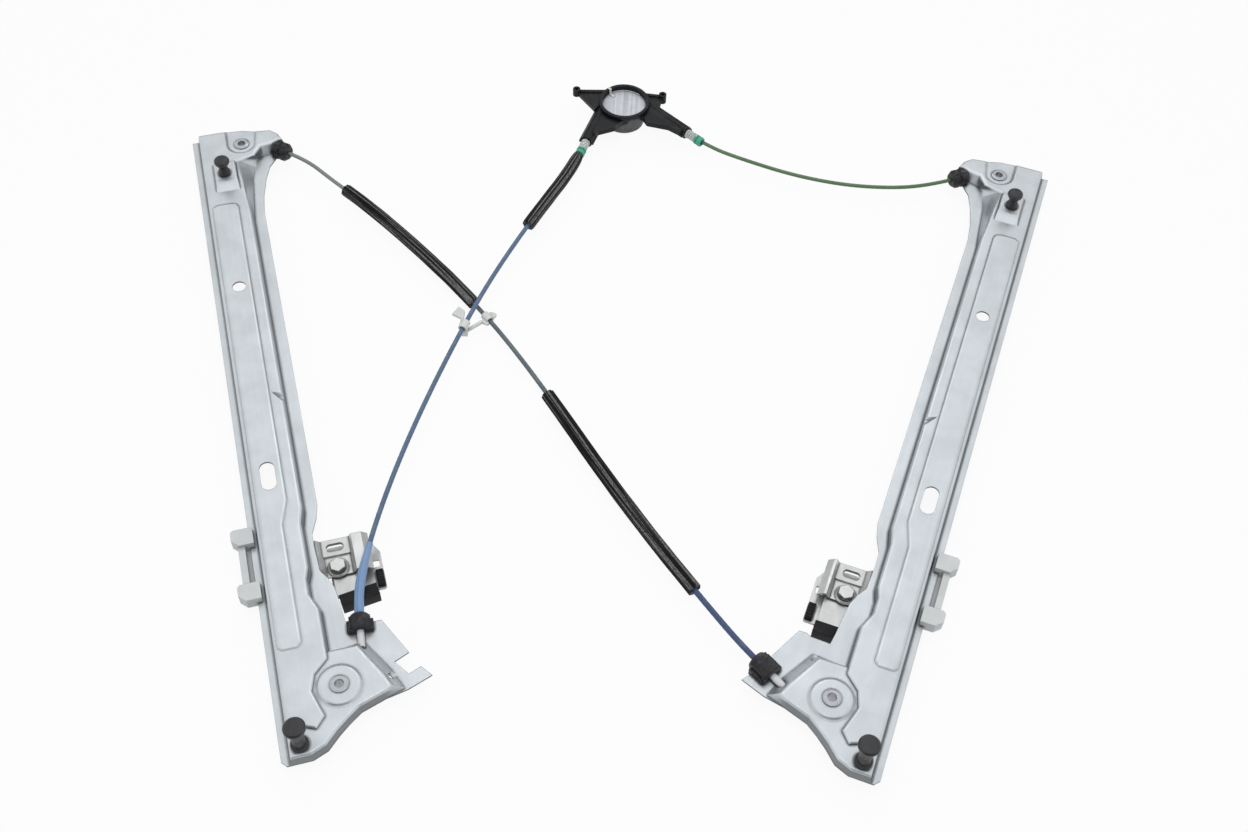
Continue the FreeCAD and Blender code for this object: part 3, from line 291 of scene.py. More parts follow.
class Effects:
    """Shader node groups that several finishes share, each built once."""

    def __init__(self) -> None:
        """Starts with no group built."""
        self.built: dict[str, bpy.types.NodeTree] = {}

    def place(self, graph: Graph, name: str, inputs: dict[str, object]) -> bpy.types.Node:
        """Places a shared group in a material.

        Args:
            graph: The material's graph.
            name: The effect's name, which is also the name of its method.
            inputs: A value or socket for each of its inputs.

        Returns:
            The group node.
        """
        if name not in self.built:
            tree = bpy.data.node_groups.new(name, "ShaderNodeTree")
            getattr(self, name)(tree)
            self.built[name] = tree
        return graph.fill(graph.add("Group", node_tree=self.built[name]), inputs)

    @staticmethod
    def sockets(tree: bpy.types.NodeTree, inputs: dict[str, float | Color],
                outputs: dict[str, str]) -> tuple:
        """Makes the sockets of a group.

        Args:
            tree: The group's tree.
            inputs: The name and first value of each input.
            outputs: The name and kind of each output: Float, Color or Vector.

        Returns:
            The graph, the input node and the output node.
        """
        for name, value in inputs.items():
            kind = "NodeSocketFloat" if isinstance(value, float) else "NodeSocketColor"
            socket = tree.interface.new_socket(name, in_out="INPUT", socket_type=kind)
            socket.default_value = value if isinstance(value, float) else color4(value)
        for name, kind in outputs.items():
            tree.interface.new_socket(name, in_out="OUTPUT", socket_type="NodeSocket" + kind)
        graph = Graph(tree)
        return graph, tree.nodes.new("NodeGroupInput"), tree.nodes.new("NodeGroupOutput")

    def cloudy_tone(self, tree: bpy.types.NodeTree) -> None:
        """Soft blotches of a lighter and darker tone over a colour."""
        start = {"Color": (0.5, 0.5, 0.5), "Scale": 30.0, "Amount": 0.1}
        graph, given, out = self.sockets(tree, start, {"Color": "Color"})
        mask = graph.ramp(graph.spots(given.outputs["Scale"], 3.0, roughness=0.55), 0.3, 0.7)
        shift = graph.math("MULTIPLY", graph.math("SUBTRACT", mask, 0.5), given.outputs["Amount"])
        bright = graph.math("ADD", shift, 1.0)
        tone = graph.add("HueSaturation", {"Value": bright, "Color": given.outputs["Color"]})
        graph.fill(out, {"Color": tone.outputs["Color"]})

    def rolled_lines(self, tree: bpy.types.NodeTree) -> None:
        """Fine lines that rolling leaves in sheet steel, along one direction."""
        start = {"Turn": 0.0, "Scale": 400.0, "Stretch": 30.0}
        graph, given, out = self.sockets(tree, start, {"Mask": "Float", "Height": "Float"})
        turn = graph.add("CombineXYZ", {"Z": given.outputs["Turn"]}).outputs[0]
        turned = graph.add("VectorRotate", {"Vector": graph.place(), "Rotation": turn},
                           rotation_type="EULER_XYZ").outputs[0]
        squeeze = graph.math("DIVIDE", 1.0, given.outputs["Stretch"])
        scale = graph.add("CombineXYZ", {"X": 1.0, "Y": squeeze, "Z": 1.0}).outputs[0]
        lines = graph.spots(given.outputs["Scale"], 2.0, graph.stretched(turned, scale))
        graph.fill(out, {"Mask": graph.ramp(lines, 0.35, 0.7), "Height": lines})

    def fine_grain(self, tree: bpy.types.NodeTree) -> None:
        """The fine grain of a satin or moulded surface."""
        graph, given, out = self.sockets(tree, {"Scale": 1500.0}, {"Mask": "Float", "Height": "Float"})
        place = graph.place()
        grain = graph.spots(given.outputs["Scale"], 2.0, place)
        cells = graph.add("TexVoronoi", {"Vector": place, "Scale": given.outputs["Scale"]},
                          feature="SMOOTH_F1")
        both = graph.math("MULTIPLY", grain, cells.outputs["Distance"])
        graph.fill(out, {"Mask": graph.ramp(grain, 0.35, 0.65), "Height": both})

    def worn_edges_and_highlights(self, tree: bpy.types.NodeTree) -> None:
        """Edges rounded in the light, and a mask of the edges, broken up at random, whose colour is lightened:
        partly rubbed wear, partly a painted highlight.
        """
        start = {"Radius": 0.0008, "Breakup": 200.0}
        graph, given, out = self.sockets(tree, start, {"Mask": "Float", "Normal": "Vector"})
        soft = graph.add("Bevel", {"Radius": given.outputs["Radius"]}, samples=6).outputs["Normal"]
        hard = graph.add("NewGeometry").outputs["Normal"]
        dot = graph.add("VectorMath", {0: soft, 1: hard}, operation="DOT_PRODUCT").outputs["Value"]
        edge = graph.ramp(dot, 0.995, 0.9)
        broken = graph.ramp(graph.spots(given.outputs["Breakup"], 3.0), 0.35, 0.6, 0.25, 1.0)
        graph.fill(out, {"Mask": graph.math("MULTIPLY", edge, broken), "Normal": soft})

    def scuffs(self, tree: bpy.types.NodeTree) -> None:
        """Sparse short scratches in two directions."""
        graph, given, out = self.sockets(tree, {"Scale": 60.0, "Amount": 0.5}, {"Mask": "Float"})
        place = graph.place()
        marks = []
        for turn, stretch in ((0.5, 9.0), (-0.9, 14.0)):
            turned = graph.add("VectorRotate", {"Vector": place, "Angle": turn}, rotation_type="Z_AXIS")
            long = graph.stretched(turned.outputs[0], (stretch, 1.0, 1.0))
            marks.append(graph.ramp(graph.spots(given.outputs["Scale"], 4.0, long), 0.66, 0.72))
        both = graph.math("MAXIMUM", *marks)
        graph.fill(out, {"Mask": graph.math("MULTIPLY", both, given.outputs["Amount"])})

    def settled_dust(self, tree: bpy.types.NodeTree) -> None:
        """A mask of faint dust on what faces up."""
        graph, given, out = self.sockets(tree, {"Scale": 90.0, "Amount": 0.2}, {"Mask": "Float"})
        specks = graph.ramp(graph.spots(given.outputs["Scale"], 6.0, roughness=0.7), 0.45, 0.75)
        lies = graph.math("MULTIPLY", graph.ramp(graph.upward(), 0.3, 1.0), specks)
        graph.fill(out, {"Mask": graph.math("MULTIPLY", lies, given.outputs["Amount"])})

    def shaded_creases(self, tree: bpy.types.NodeTree) -> None:
        """A mask of painted shade in creases and under ledges, from ambient occlusion."""
        graph, given, out = self.sockets(tree, {"Reach": 0.003, "Deep": 0.84}, {"Mask": "Float"})
        shut = graph.add("AmbientOcclusion", {"Distance": given.outputs["Reach"]}, samples=6).outputs["AO"]
        graph.fill(out, {"Mask": graph.ramp(shut, 0.99, given.outputs["Deep"])})

    def upright_face_shade(self, tree: bpy.types.NodeTree) -> None:
        """A mask of painted shade on the upright edges and hems of a sheet, from how little the surface faces
        up.
        """
        graph, given, out = self.sockets(tree, {"Flat": 0.45, "Steep": 0.1}, {"Mask": "Float"})
        graph.fill(out, {"Mask": graph.ramp(graph.upward(), given.outputs["Flat"], given.outputs["Steep"])})

    def foam_cells(self, tree: bpy.types.NodeTree) -> None:
        """The closed cells of foam, with long streaks where it was drawn."""
        start = {"Scale": 1400.0, "Streaks": 20.0}
        graph, given, out = self.sockets(tree, start, {"Mask": "Float", "Height": "Float"})
        place = graph.place()
        cells = graph.add("TexVoronoi", {"Vector": place, "Scale": given.outputs["Scale"]}, feature="F1")
        run = graph.add("UVMap", uv_map="run").outputs["UV"]
        scale = graph.add("CombineXYZ", {"X": given.outputs["Streaks"], "Y": 0.6, "Z": 1.0}).outputs[0]
        inputs = {"Vector": graph.stretched(run, scale), "Scale": 1.0, "Detail": 3.0}
        streaks = graph.add("TexNoise", inputs, noise_dimensions="2D").outputs["Fac"]
        broken = graph.ramp(graph.spots(800.0, 2.0, place), 0.35, 0.62, 0.35, 1.0)
        drawn = graph.math("MULTIPLY", graph.ramp(streaks, 0.45, 0.62), broken)
        graph.fill(out, {"Mask": drawn, "Height": cells.outputs["Distance"]})

    def twisted_wires(self, tree: bpy.types.NodeTree) -> None:
        """Slanting wires of a laid cable."""
        graph, given, out = self.sockets(tree, {"Scale": 900.0}, {"Mask": "Float", "Height": "Float"})
        inputs = {"Vector": graph.place(), "Scale": given.outputs["Scale"], "Distortion": 0.0}
        wave = graph.add("TexWave", inputs, wave_type="BANDS", bands_direction="DIAGONAL").outputs["Fac"]
        graph.fill(out, {"Mask": wave, "Height": wave})


EFFECTS = Effects()


def toned(color: Color, share: float) -> Color:
    """A share of a colour."""
    return tuple(part * share for part in color)


@dataclass(frozen=True)
class Finish:
    """What every finish has: a colour, a gloss and a fine surface."""

    name: str
    color: Color
    roughness: float
    grain_scale: float = 1500.0
    grain_depth: float = 0.02 * MM
    tone_scale: float = 40.0
    tone_amount: float = 0.12

    def build(self) -> bpy.types.Material:
        """Builds the material.

        Returns:
            The material.
        """
        material = bpy.data.materials.new(self.name)
        material.use_nodes = True
        graph = Graph(material.node_tree)
        graph.fill(material.node_tree.nodes["Principled BSDF"], self.surface(graph))
        return material

    def surface(self, graph: Graph) -> dict[str, object]:
        """The inputs of the shader: here a plain colour and gloss."""
        return {"Base Color": self.base(graph), "Roughness": self.roughness}

    def base(self, graph: Graph) -> bpy.types.NodeSocket:
        """The colour with soft blotches.

        Args:
            graph: The material's graph.

        Returns:
            The socket with the colour.
        """
        given = {"Color": color4(self.color), "Scale": self.tone_scale, "Amount": self.tone_amount}
        return EFFECTS.place(graph, "cloudy_tone", given).outputs["Color"]

    def relief(self, graph: Graph, effect: bpy.types.Node, depth: float,
               normal: object = None) -> bpy.types.NodeSocket:
        """A bump from the height of an effect.

        Args:
            graph: The material's graph.
            effect: The effect's group node.
            depth: The depth that a height of 1 stands for.
            normal: The normal that the bump starts from.

        Returns:
            The socket with the normal.
        """
        inputs = {"Height": effect.outputs["Height"], "Distance": depth, "Strength": 1.0}
        if normal is not None:
            inputs["Normal"] = normal
        return graph.add("Bump", inputs).outputs["Normal"]


@dataclass(frozen=True)
class SheetSteel(Finish):
    """Coated sheet or plated steel, and the brushed disc: satin, with lines, edges lightened partly as rubbed
    wear and partly as a painted highlight, and painted shade in creases and on upright hems.
    """

    metallic: float = 0.75
    turn: float = 0.0
    line_depth: float = 0.004 * MM
    edge_radius: float = 1.0 * MM
    edge_color: Color = (0.80, 0.82, 0.84)
    # How far the edges are lightened towards the edge colour: partly rubbed wear, partly a painted highlight.
    edge_rub_and_highlight: float = 0.25
    scratch: float = 0.35
    scratch_rub: float = 0.5
    # Shade painted into creases: how much, how far it reaches and how dark.
    crease: float = 0.55
    crease_reach: float = 2.0 * MM
    crease_tone: float = 0.12
    # How much shade is painted on upright faces.
    hem_shade: float = 0.0
    line_scale: float = 400.0
    line_share: float = 0.05
    edge_polish: float = 0.10

    def surface(self, graph: Graph) -> dict[str, object]:
        """The inputs of the shader.

        Args:
            graph: The material's graph.

        Returns:
            A value or socket for each input.
        """
        rolled = {"Turn": math.radians(self.turn), "Scale": self.line_scale}
        lines = EFFECTS.place(graph, "rolled_lines", rolled)
        edges = EFFECTS.place(graph, "worn_edges_and_highlights", {"Radius": self.edge_radius})
        marks = EFFECTS.place(graph, "scuffs", {"Amount": self.scratch})
        grain = EFFECTS.place(graph, "fine_grain", {"Scale": self.grain_scale})
        drawn = graph.lay(lines, self.line_share, self.base(graph), self.edge_color)
        # Edges lightened: partly rubbed wear, partly a painted highlight.
        rubbed_and_highlit = graph.lay(edges, self.edge_rub_and_highlight, drawn, self.edge_color)
        scratched = graph.lay(marks, self.scratch_rub, rubbed_and_highlit, self.edge_color)
        satin = graph.ramp(lines.outputs["Mask"], 0.0, 1.0, self.roughness + 0.05, self.roughness - 0.04)
        gloss = graph.math("SUBTRACT", satin, graph.math("MULTIPLY", edges.outputs["Mask"], self.edge_polish))
        fine = self.relief(graph, grain, self.grain_depth, edges.outputs["Normal"])
        normal = self.relief(graph, lines, self.line_depth, fine)
        return {"Metallic": self.metallic, "Base Color": self.shade(graph, scratched), "Roughness": gloss,
                "Normal": normal}

    def shade(self, graph: Graph, color: bpy.types.NodeSocket) -> bpy.types.NodeSocket:
        """Paints shade into a colour in creases and on upright hems.

        Args:
            graph: The material's graph.
            color: The colour.

        Returns:
            The socket with the shaded colour.
        """
        dark = toned(self.color, self.crease_tone)
        creases = EFFECTS.place(graph, "shaded_creases", {"Reach": self.crease_reach})
        # Shade painted into creases, from ambient occlusion.
        crease_shaded = graph.lay(creases, self.crease, color, dark)
        if not self.hem_shade:
            return crease_shaded
        # Shade painted on upright faces.
        return graph.lay(EFFECTS.place(graph, "upright_face_shade", {}), self.hem_shade, crease_shaded, dark)


@dataclass(frozen=True)
class Moulding(Finish):
    """Injection moulded plastic: eroded grain, paler edges that are partly rubbed wear and partly a painted
    highlight, a little dust, and painted shade in creases.
    """

    edge_radius: float = 0.5 * MM
    # How far edges and scuffs are paled: on the edges partly rubbed wear, partly a painted highlight.
    edge_lift: float = 0.35
    paler: float = 0.25
    dust: float = 0.15
    dust_color: Color = (0.55, 0.55, 0.55)
    specular: float = 0.5
    # Shade painted into creases: how much, how far it reaches and how dark.
    crease: float = 0.35
    crease_reach: float = 3.0 * MM
    crease_tone: float = 0.25
    scuff_scale: float = 90.0
    scuff: float = 0.4

    def surface(self, graph: Graph) -> dict[str, object]:
        """The inputs of the shader.

        Args:
            graph: The material's graph.

        Returns:
            A value or socket for each input.
        """
        edges = EFFECTS.place(graph, "worn_edges_and_highlights", {"Radius": self.edge_radius})
        grain = EFFECTS.place(graph, "fine_grain", {"Scale": self.grain_scale})
        dust = EFFECTS.place(graph, "settled_dust", {"Amount": self.dust})
        marks = EFFECTS.place(graph, "scuffs", {"Scale": self.scuff_scale, "Amount": self.scuff})
        creases = EFFECTS.place(graph, "shaded_creases", {"Reach": self.crease_reach})
        pale = tuple(part + self.paler * (1.0 - part) for part in self.color)
        # Edges paled: partly rubbed wear, partly a painted highlight.
        rubbed_and_highlit = graph.lay(edges, self.edge_lift, self.base(graph), pale)
        scratched = graph.lay(marks, self.edge_lift, rubbed_and_highlit, pale)
        dusty = graph.mix(dust.outputs["Mask"], scratched, color4(self.dust_color))
        # Shade painted into creases, from ambient occlusion.
        crease_shaded = graph.lay(creases, self.crease, dusty, toned(self.color, self.crease_tone))
        gloss = graph.ramp(grain.outputs["Mask"], 0.0, 1.0, self.roughness - 0.05, self.roughness + 0.06)
        normal = self.relief(graph, grain, self.grain_depth, edges.outputs["Normal"])
        return {"Specular IOR Level": self.specular, "Base Color": crease_shaded, "Roughness": gloss,
                "Normal": normal}


@dataclass(frozen=True)
class Foam(Finish):
    """Closed-cell foam: matt black with drawn streaks."""

    streak_color: Color = (0.21, 0.21, 0.21)
    streaks: float = 20.0
    dust: float = 0.05
    dust_scale: float = 160.0
    dust_color: Color = (0.22, 0.22, 0.22)
    sheen: float = 0.04
    specular: float = 0.15

    def surface(self, graph: Graph) -> dict[str, object]:
        """The inputs of the shader.

        Args:
            graph: The material's graph.

        Returns:
            A value or socket for each input.
        """
        cells = EFFECTS.place(graph, "foam_cells", {"Scale": self.grain_scale, "Streaks": self.streaks})
        dust = EFFECTS.place(graph, "settled_dust", {"Amount": self.dust, "Scale": self.dust_scale})
        drawn = graph.mix(cells.outputs["Mask"], self.base(graph), color4(self.streak_color))
        dusty = graph.mix(dust.outputs["Mask"], drawn, color4(self.dust_color))
        gloss = graph.ramp(cells.outputs["Mask"], 0.0, 1.0, self.roughness, self.roughness - 0.2)
        return {"Sheen Weight": self.sheen, "Specular IOR Level": self.specular, "Base Color": dusty,
                "Roughness": gloss, "Normal": self.relief(graph, cells, self.grain_depth)}


@dataclass(frozen=True)
class ClearMoulding(Finish):
    """Milky clear plastic."""

    transmission: float = 0.5
    ior: float = 1.45

    def surface(self, graph: Graph) -> dict[str, object]:
        """The inputs of the shader.

        Args:
            graph: The material's graph.

        Returns:
            A value or socket for each input.
        """
        grain = EFFECTS.place(graph, "fine_grain", {"Scale": self.grain_scale})
        gloss = graph.ramp(grain.outputs["Mask"], 0.0, 1.0, self.roughness - 0.04, self.roughness + 0.08)
        return {"Transmission Weight": self.transmission, "IOR": self.ior, "Base Color": self.base(graph),
                "Roughness": gloss, "Normal": self.relief(graph, grain, self.grain_depth)}


@dataclass(frozen=True)
class LaidCable(Finish):
    """Steel cable of laid wires."""

    metallic: float = 0.9
    wire_scale: float = 900.0
    wire_depth: float = 0.15 * MM
    gap_tone: float = 0.45

    def surface(self, graph: Graph) -> dict[str, object]:
        """The inputs of the shader.

        Args:
            graph: The material's graph.

        Returns:
            A value or socket for each input.
        """
        wires = EFFECTS.place(graph, "twisted_wires", {"Scale": self.wire_scale})
        color = graph.mix(wires.outputs["Mask"], color4(toned(self.color, self.gap_tone)), self.base(graph))
        gloss = graph.ramp(wires.outputs["Mask"], 0.0, 1.0, self.roughness + 0.2, self.roughness)
        return {"Metallic": self.metallic, "Base Color": color, "Roughness": gloss,
                "Normal": self.relief(graph, wires, self.wire_depth)}


class Palette:
    """The finishes of the regulator, built once each."""

    FINISHES = [
        # The crease and hem settings here paint shade; the edge settings lighten edges partly as wear and
        # partly as a painted highlight.
        SheetSteel("rail_steel_left", (0.575, 0.615, 0.645), 0.34, turn=-17.5,
                   edge_radius=1.2 * MM, crease=0.62, hem_shade=0.85),
        SheetSteel("rail_steel_right", (0.575, 0.615, 0.645), 0.34, turn=18.3,
                   edge_radius=1.2 * MM, crease=0.75, hem_shade=0.85),
        SheetSteel("bracket_steel", (0.56, 0.57, 0.565), 0.32, tone_scale=90.0, edge_radius=0.7 * MM,
                   crease=0.85, crease_reach=1.8 * MM, hem_shade=0.3),
        SheetSteel("rivet_steel", (0.44, 0.46, 0.49), 0.26, edge_radius=0.4 * MM,
                   tone_scale=200.0, crease=0.8),
        SheetSteel("stud_steel", (0.022, 0.022, 0.025), 0.38, metallic=0.1, edge_radius=0.4 * MM,
                   edge_color=(0.16, 0.16, 0.17), tone_scale=150.0),
        SheetSteel("bolt_steel", (0.60, 0.61, 0.60), 0.28, edge_radius=0.4 * MM, tone_scale=200.0,
                   crease=0.9, crease_reach=1.6 * MM, hem_shade=0.5),
        SheetSteel("nipple_zinc", (0.55, 0.55, 0.56), 0.45, edge_radius=0.3 * MM, tone_scale=200.0),
        LaidCable("cable_steel", (0.42, 0.43, 0.44), 0.35),
        Moulding("pulley_plastic", (0.80, 0.79, 0.74), 0.45, edge_lift=0.2),
        Moulding("guide_plastic", (0.67, 0.69, 0.695), 0.50, edge_lift=0.3, dust=0.05),
        Moulding("black_plastic", (0.016, 0.016, 0.019), 0.42, tone_amount=0.3, specular=0.3),
        Moulding("housing_plastic", (0.009, 0.010, 0.012), 0.40, tone_amount=0.4, edge_radius=0.7 * MM,
                 edge_lift=0.3, dust=0.03, specular=0.2),
        Moulding("collar_plastic", (0.10, 0.10, 0.105), 0.50, tone_scale=120.0, tone_amount=0.4),
        SheetSteel("cover_plastic", (0.50, 0.51, 0.565), 0.42, metallic=0.15, tone_scale=130.0,
                   tone_amount=0.25, edge_color=(0.80, 0.81, 0.86), line_scale=260.0,
                   line_share=0.65),
        Moulding("tab_paper", (0.78, 0.78, 0.76), 0.75, edge_lift=0.1),
        Moulding("liner_plastic", (0.72, 0.73, 0.74), 0.35),
        Moulding("green_plastic", (0.06, 0.42, 0.27), 0.38, edge_lift=0.3, dust=0.05),
        Moulding("conduit_grey", (0.10, 0.13, 0.15), 0.38, tone_scale=25.0, edge_radius=0.1 * MM),
        Moulding("conduit_pale", (0.22, 0.24, 0.245), 0.38, tone_scale=25.0, edge_radius=0.1 * MM),
        Moulding("conduit_navy", (0.035, 0.065, 0.16), 0.38, tone_scale=25.0, edge_radius=0.1 * MM),
        Moulding("conduit_blue", (0.085, 0.145, 0.25), 0.36, tone_scale=25.0, edge_radius=0.1 * MM),
        Moulding("conduit_green", (0.09, 0.18, 0.075), 0.36, tone_scale=25.0, edge_radius=0.1 * MM),
        Moulding("guard_blue", (0.20, 0.33, 0.55), 0.34, tone_scale=60.0, dust=0.05),
        Moulding("clip_plastic", (0.72, 0.73, 0.71), 0.40, edge_lift=0.3, dust=0.05),
        Moulding("cushion_rubber", (0.011, 0.011, 0.013), 0.58, grain_scale=900.0, tone_amount=0.4,
                 grain_depth=0.05 * MM, edge_lift=0.1, dust=0.03, specular=0.2),
        Foam("black_foam", (0.006, 0.006, 0.006), 0.85, grain_depth=0.12 * MM, tone_amount=0.5),
        ClearMoulding("clear_plastic", (0.84, 0.86, 0.86), 0.22),
    ]

    def __init__(self) -> None:
        """Builds every material."""
        self.materials = {finish.name: finish.build() for finish in self.FINISHES}
        log.info("finishes: %d", len(self.materials))

    def dress(self, obj: bpy.types.Object, name: str) -> None:
        """Gives a piece one finish.

        Args:
            obj: The piece.
            name: The finish's name.
        """
        obj.data.materials.clear()
        obj.data.materials.append(self.materials[name])


def new_piece(name: str, mesh: bmesh.types.BMesh, sharp: float | None = None) -> bpy.types.Object:
    """Makes an object from a mesh under construction.

    Args:
        name: The piece's name.
        mesh: The mesh, which is freed.
        sharp: The angle in degrees from which edges stay sharp, or None where every face is flat.

    Returns:
        The new object, linked to the scene.
    """
    bmesh.ops.recalc_face_normals(mesh, faces=mesh.faces)
    for face in mesh.faces:
        face.smooth = sharp is not None
    data = bpy.data.meshes.new(name)
    mesh.to_mesh(data)
    mesh.free()
    if sharp is not None:
        data.set_sharp_from_angle(angle=math.radians(sharp))
    obj = bpy.data.objects.new(name, data)
    bpy.context.scene.collection.objects.link(obj)
    return obj


def soften(mesh: bmesh.types.BMesh, radius: float, segments: int) -> None:
    """Rounds every edge of a mesh.

    Args:
        mesh: The mesh.
        radius: How far from the edge the rounding starts.
        segments: How many faces round each edge.
    """
    bmesh.ops.recalc_face_normals(mesh, faces=mesh.faces)
    bmesh.ops.bevel(mesh, geom=list(mesh.edges), offset=radius, segments=segments, profile=0.5,
                    affect="EDGES", clamp_overlap=True)


def settle(piece: bpy.types.Object, palette: Palette, finish: str, body: str, node: str | None = None) -> None:
    """Dresses a piece, ties it to its body and hides the solid that it stands for, if any.

    Args:
        piece: The piece.
        palette: The finishes.
        finish: The finish's name.
        body: The body that carries it.
        node: The node that it replaces, if any.
    """
    palette.dress(piece, finish)
    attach(piece, body)
    if node:
        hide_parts(node)
    log.info("%s", piece.name)


class Line:
    """A smooth line through space that tubes follow."""

    STEPS = 12

    def __init__(self, route: list[Place]) -> None:
        """Makes the smooth line of a route.

        Args:
            route: The route's points.
        """
        curve = bpy.data.curves.new("route", "CURVE")
        curve.dimensions = "3D"
        curve.resolution_u = self.STEPS
        spline = curve.splines.new("NURBS")
        spline.points.add(len(route) - 1)
        for point, place in zip(spline.points, route):
            point.co = (*place, 1.0)
        spline.order_u = 3
        spline.use_endpoint_u = True
        holder = bpy.data.objects.new("route", curve)
        mesh = bpy.data.meshes.new_from_object(holder)
        self.points = [vertex.co.copy() for vertex in mesh.vertices]
        bpy.data.objects.remove(holder)
        bpy.data.meshes.remove(mesh)
        bpy.data.curves.remove(curve)
        self.ways = [0.0]
        for before, after in zip(self.points, self.points[1:]):
            self.ways.append(self.ways[-1] + (after - before).length)
        self.spans = len(route) - 2

    def middle(self, run: int) -> float:
        """The way along the line to the middle of one run of the route.

        Args:
            run: The number of the run, from 1 for the second run.

        Returns:
            The distance from the line's start.
        """
        place = run * (len(self.points) - 1) / self.spans
        index = min(int(place), len(self.points) - 2)
        return self.ways[index] + (place - index) * (self.ways[index + 1] - self.ways[index])

    @property
    def length(self) -> float:
        """The length of the whole line."""
        return self.ways[-1]

    def at(self, way: float) -> Vector:
        """The point at one way along the line.

        Args:
            way: The distance from the line's start.

        Returns:
            The point.
        """
        index = min(max(bisect_left(self.ways, way), 1), len(self.ways) - 1)
        share = (way - self.ways[index - 1]) / (self.ways[index] - self.ways[index - 1])
        return self.points[index - 1].lerp(self.points[index], share)

    def frames(self, start: float, end: float, step: float) -> list[tuple[Vector, Vector, Vector, float]]:
        """Places for the rings of a tube along the line.

        Args:
            start: The way of the first ring.
            end: The way of the last ring.
            step: About how far apart the rings are.

        Returns:
            For each ring its point, the two directions of its plane and its way.
        """
        count = max(2, round((end - start) / step))
        ways = [start + (end - start) * index / count for index in range(count + 1)]
        spots = [self.at(way) for way in ways]
        frames = []
        for index, spot in enumerate(spots):
            before = spots[max(index - 1, 0)]
            after = spots[min(index + 1, count)]
            run = (after - before).normalized()
            across = run.cross(Vector((0.0, 0.0, 1.0))).normalized()
            frames.append((spot, across, across.cross(run).normalized(), ways[index]))
        return frames


Section = Callable[[float, float], float]


@dataclass
class Tube:
    """A tube with walls along a line, whose section can change along and around."""

    line: Line
    start: float
    end: float
    outer: Section
    inner: float
    step: float
    around: int
    map_scale: float = 10.0

    def build(self, name: str) -> bpy.types.Object:
        """Builds the tube.

        Args:
            name: The piece's name.

        Returns:
            The new piece, with its way round and along in the map "run".
        """
        frames = self.line.frames(self.start, self.end, self.step)
        mesh = bmesh.new()
        chart = mesh.loops.layers.uv.new("run")
        skins = [[self.ring(mesh, frame, self.outer) for frame in frames]]
        if self.inner:
            skins.append([self.ring(mesh, frame, lambda turn, way: self.inner) for frame in frames])
        for depth, rings in enumerate(skins):
            for index in range(len(rings) - 1):
                ways = (frames[index][3], frames[index + 1][3])
                self.band(mesh, chart, rings[index], rings[index + 1], ways, depth == 1)
        for index, way in ((0, self.start), (-1, self.end)):
            rims = [rings[index] for rings in skins]
            if self.inner:
                self.band(mesh, chart, *rims, (way, way + self.inner), index == 0)
            else:
                mesh.faces.new(rims[0])
        return new_piece(name, mesh, TUBE_SHARP)

    def ring(self, mesh: bmesh.types.BMesh, frame: tuple, section: Section) -> list[bmesh.types.BMVert]:
        """Adds the points of one ring.

        Args:
            mesh: The mesh under construction.
            frame: The ring's place.
            section: The radius at each turn and way.

        Returns:
            The ring's points.
        """
        spot, across, up, way = frame
        points = []
        for index in range(self.around):
            turn = math.tau * index / self.around
            radius = section(turn, way)
            reach = across * (radius * math.cos(turn)) + up * (radius * math.sin(turn))
            points.append(mesh.verts.new(spot + reach))
        return points

    def band(self, mesh: bmesh.types.BMesh, chart: object, first: list, second: list,
             ways: tuple[float, float], turned: bool) -> None:
        """Adds the faces between two rings.

        Args:
            mesh: The mesh under construction.
            chart: The layer of the map.
            first: The first ring.
            second: The second ring.
            ways: The ways of both rings.
            turned: Whether the faces look the other way.
        """
        for index in range(self.around):
            on = (index + 1) % self.around
            corners = [first[index], first[on], second[on], second[index]]
            places = [(index, ways[0]), (index + 1, ways[0]), (index + 1, ways[1]), (index, ways[1])]
            if turned:
                corners.reverse()
                places.reverse()
            face = mesh.faces.new(corners)
            for loop, (turn, way) in zip(face.loops, places):
                loop[chart].uv = (turn / self.around, way * self.map_scale)


@dataclass
class Stretch:
    """One stretch of a conduit, with a finish and a radius of its own."""

    name: str
    finish: str
    radius: float
    end: float


@dataclass
class Conduit:
    """A plastic conduit that runs between two fittings."""

    node: str
    route: list[Place]
    finish: str
    radius: float = SLIM_R
    slack: float = 0.05 * MM
    wave: float = 0.04 * MM
    pitch: float = 4.8 * MM

    def __post_init__(self) -> None:
        """Works out the smooth line."""
        self.line = Line(self.route)

    def stretches(self) -> list[Stretch]:
        """The stretches of this conduit: one, with the same look all along."""
        return [Stretch("_jacket", self.finish, self.radius, self.line.length)]

    def build(self, palette: Palette) -> None:
        """Builds the conduit.

        Args:
            palette: The finishes.
        """
        start = 0.0
        for stretch in self.stretches():
            settle(self.jacket(stretch, start), palette, stretch.finish, "base", self.node)
            log.info("%.1f mm long", (stretch.end - start) / MM)
            start = stretch.end

    def jacket(self, stretch: Stretch, start: float) -> bpy.types.Object:
        """Builds one stretch, with the faint waves of the wire winding inside.

        Args:
            stretch: The stretch.
            start: The way where it starts.

        Returns:
            The new piece.
        """
        def section(turn: float, way: float) -> float:
            """The outer radius at a turn and way."""
            return stretch.radius - self.slack + self.wave * math.sin(turn + way * math.tau / self.pitch)

        return Tube(self.line, start, stretch.end, section, 0.0, step=1.2 * MM, around=24).build(
            self.node + stretch.name)


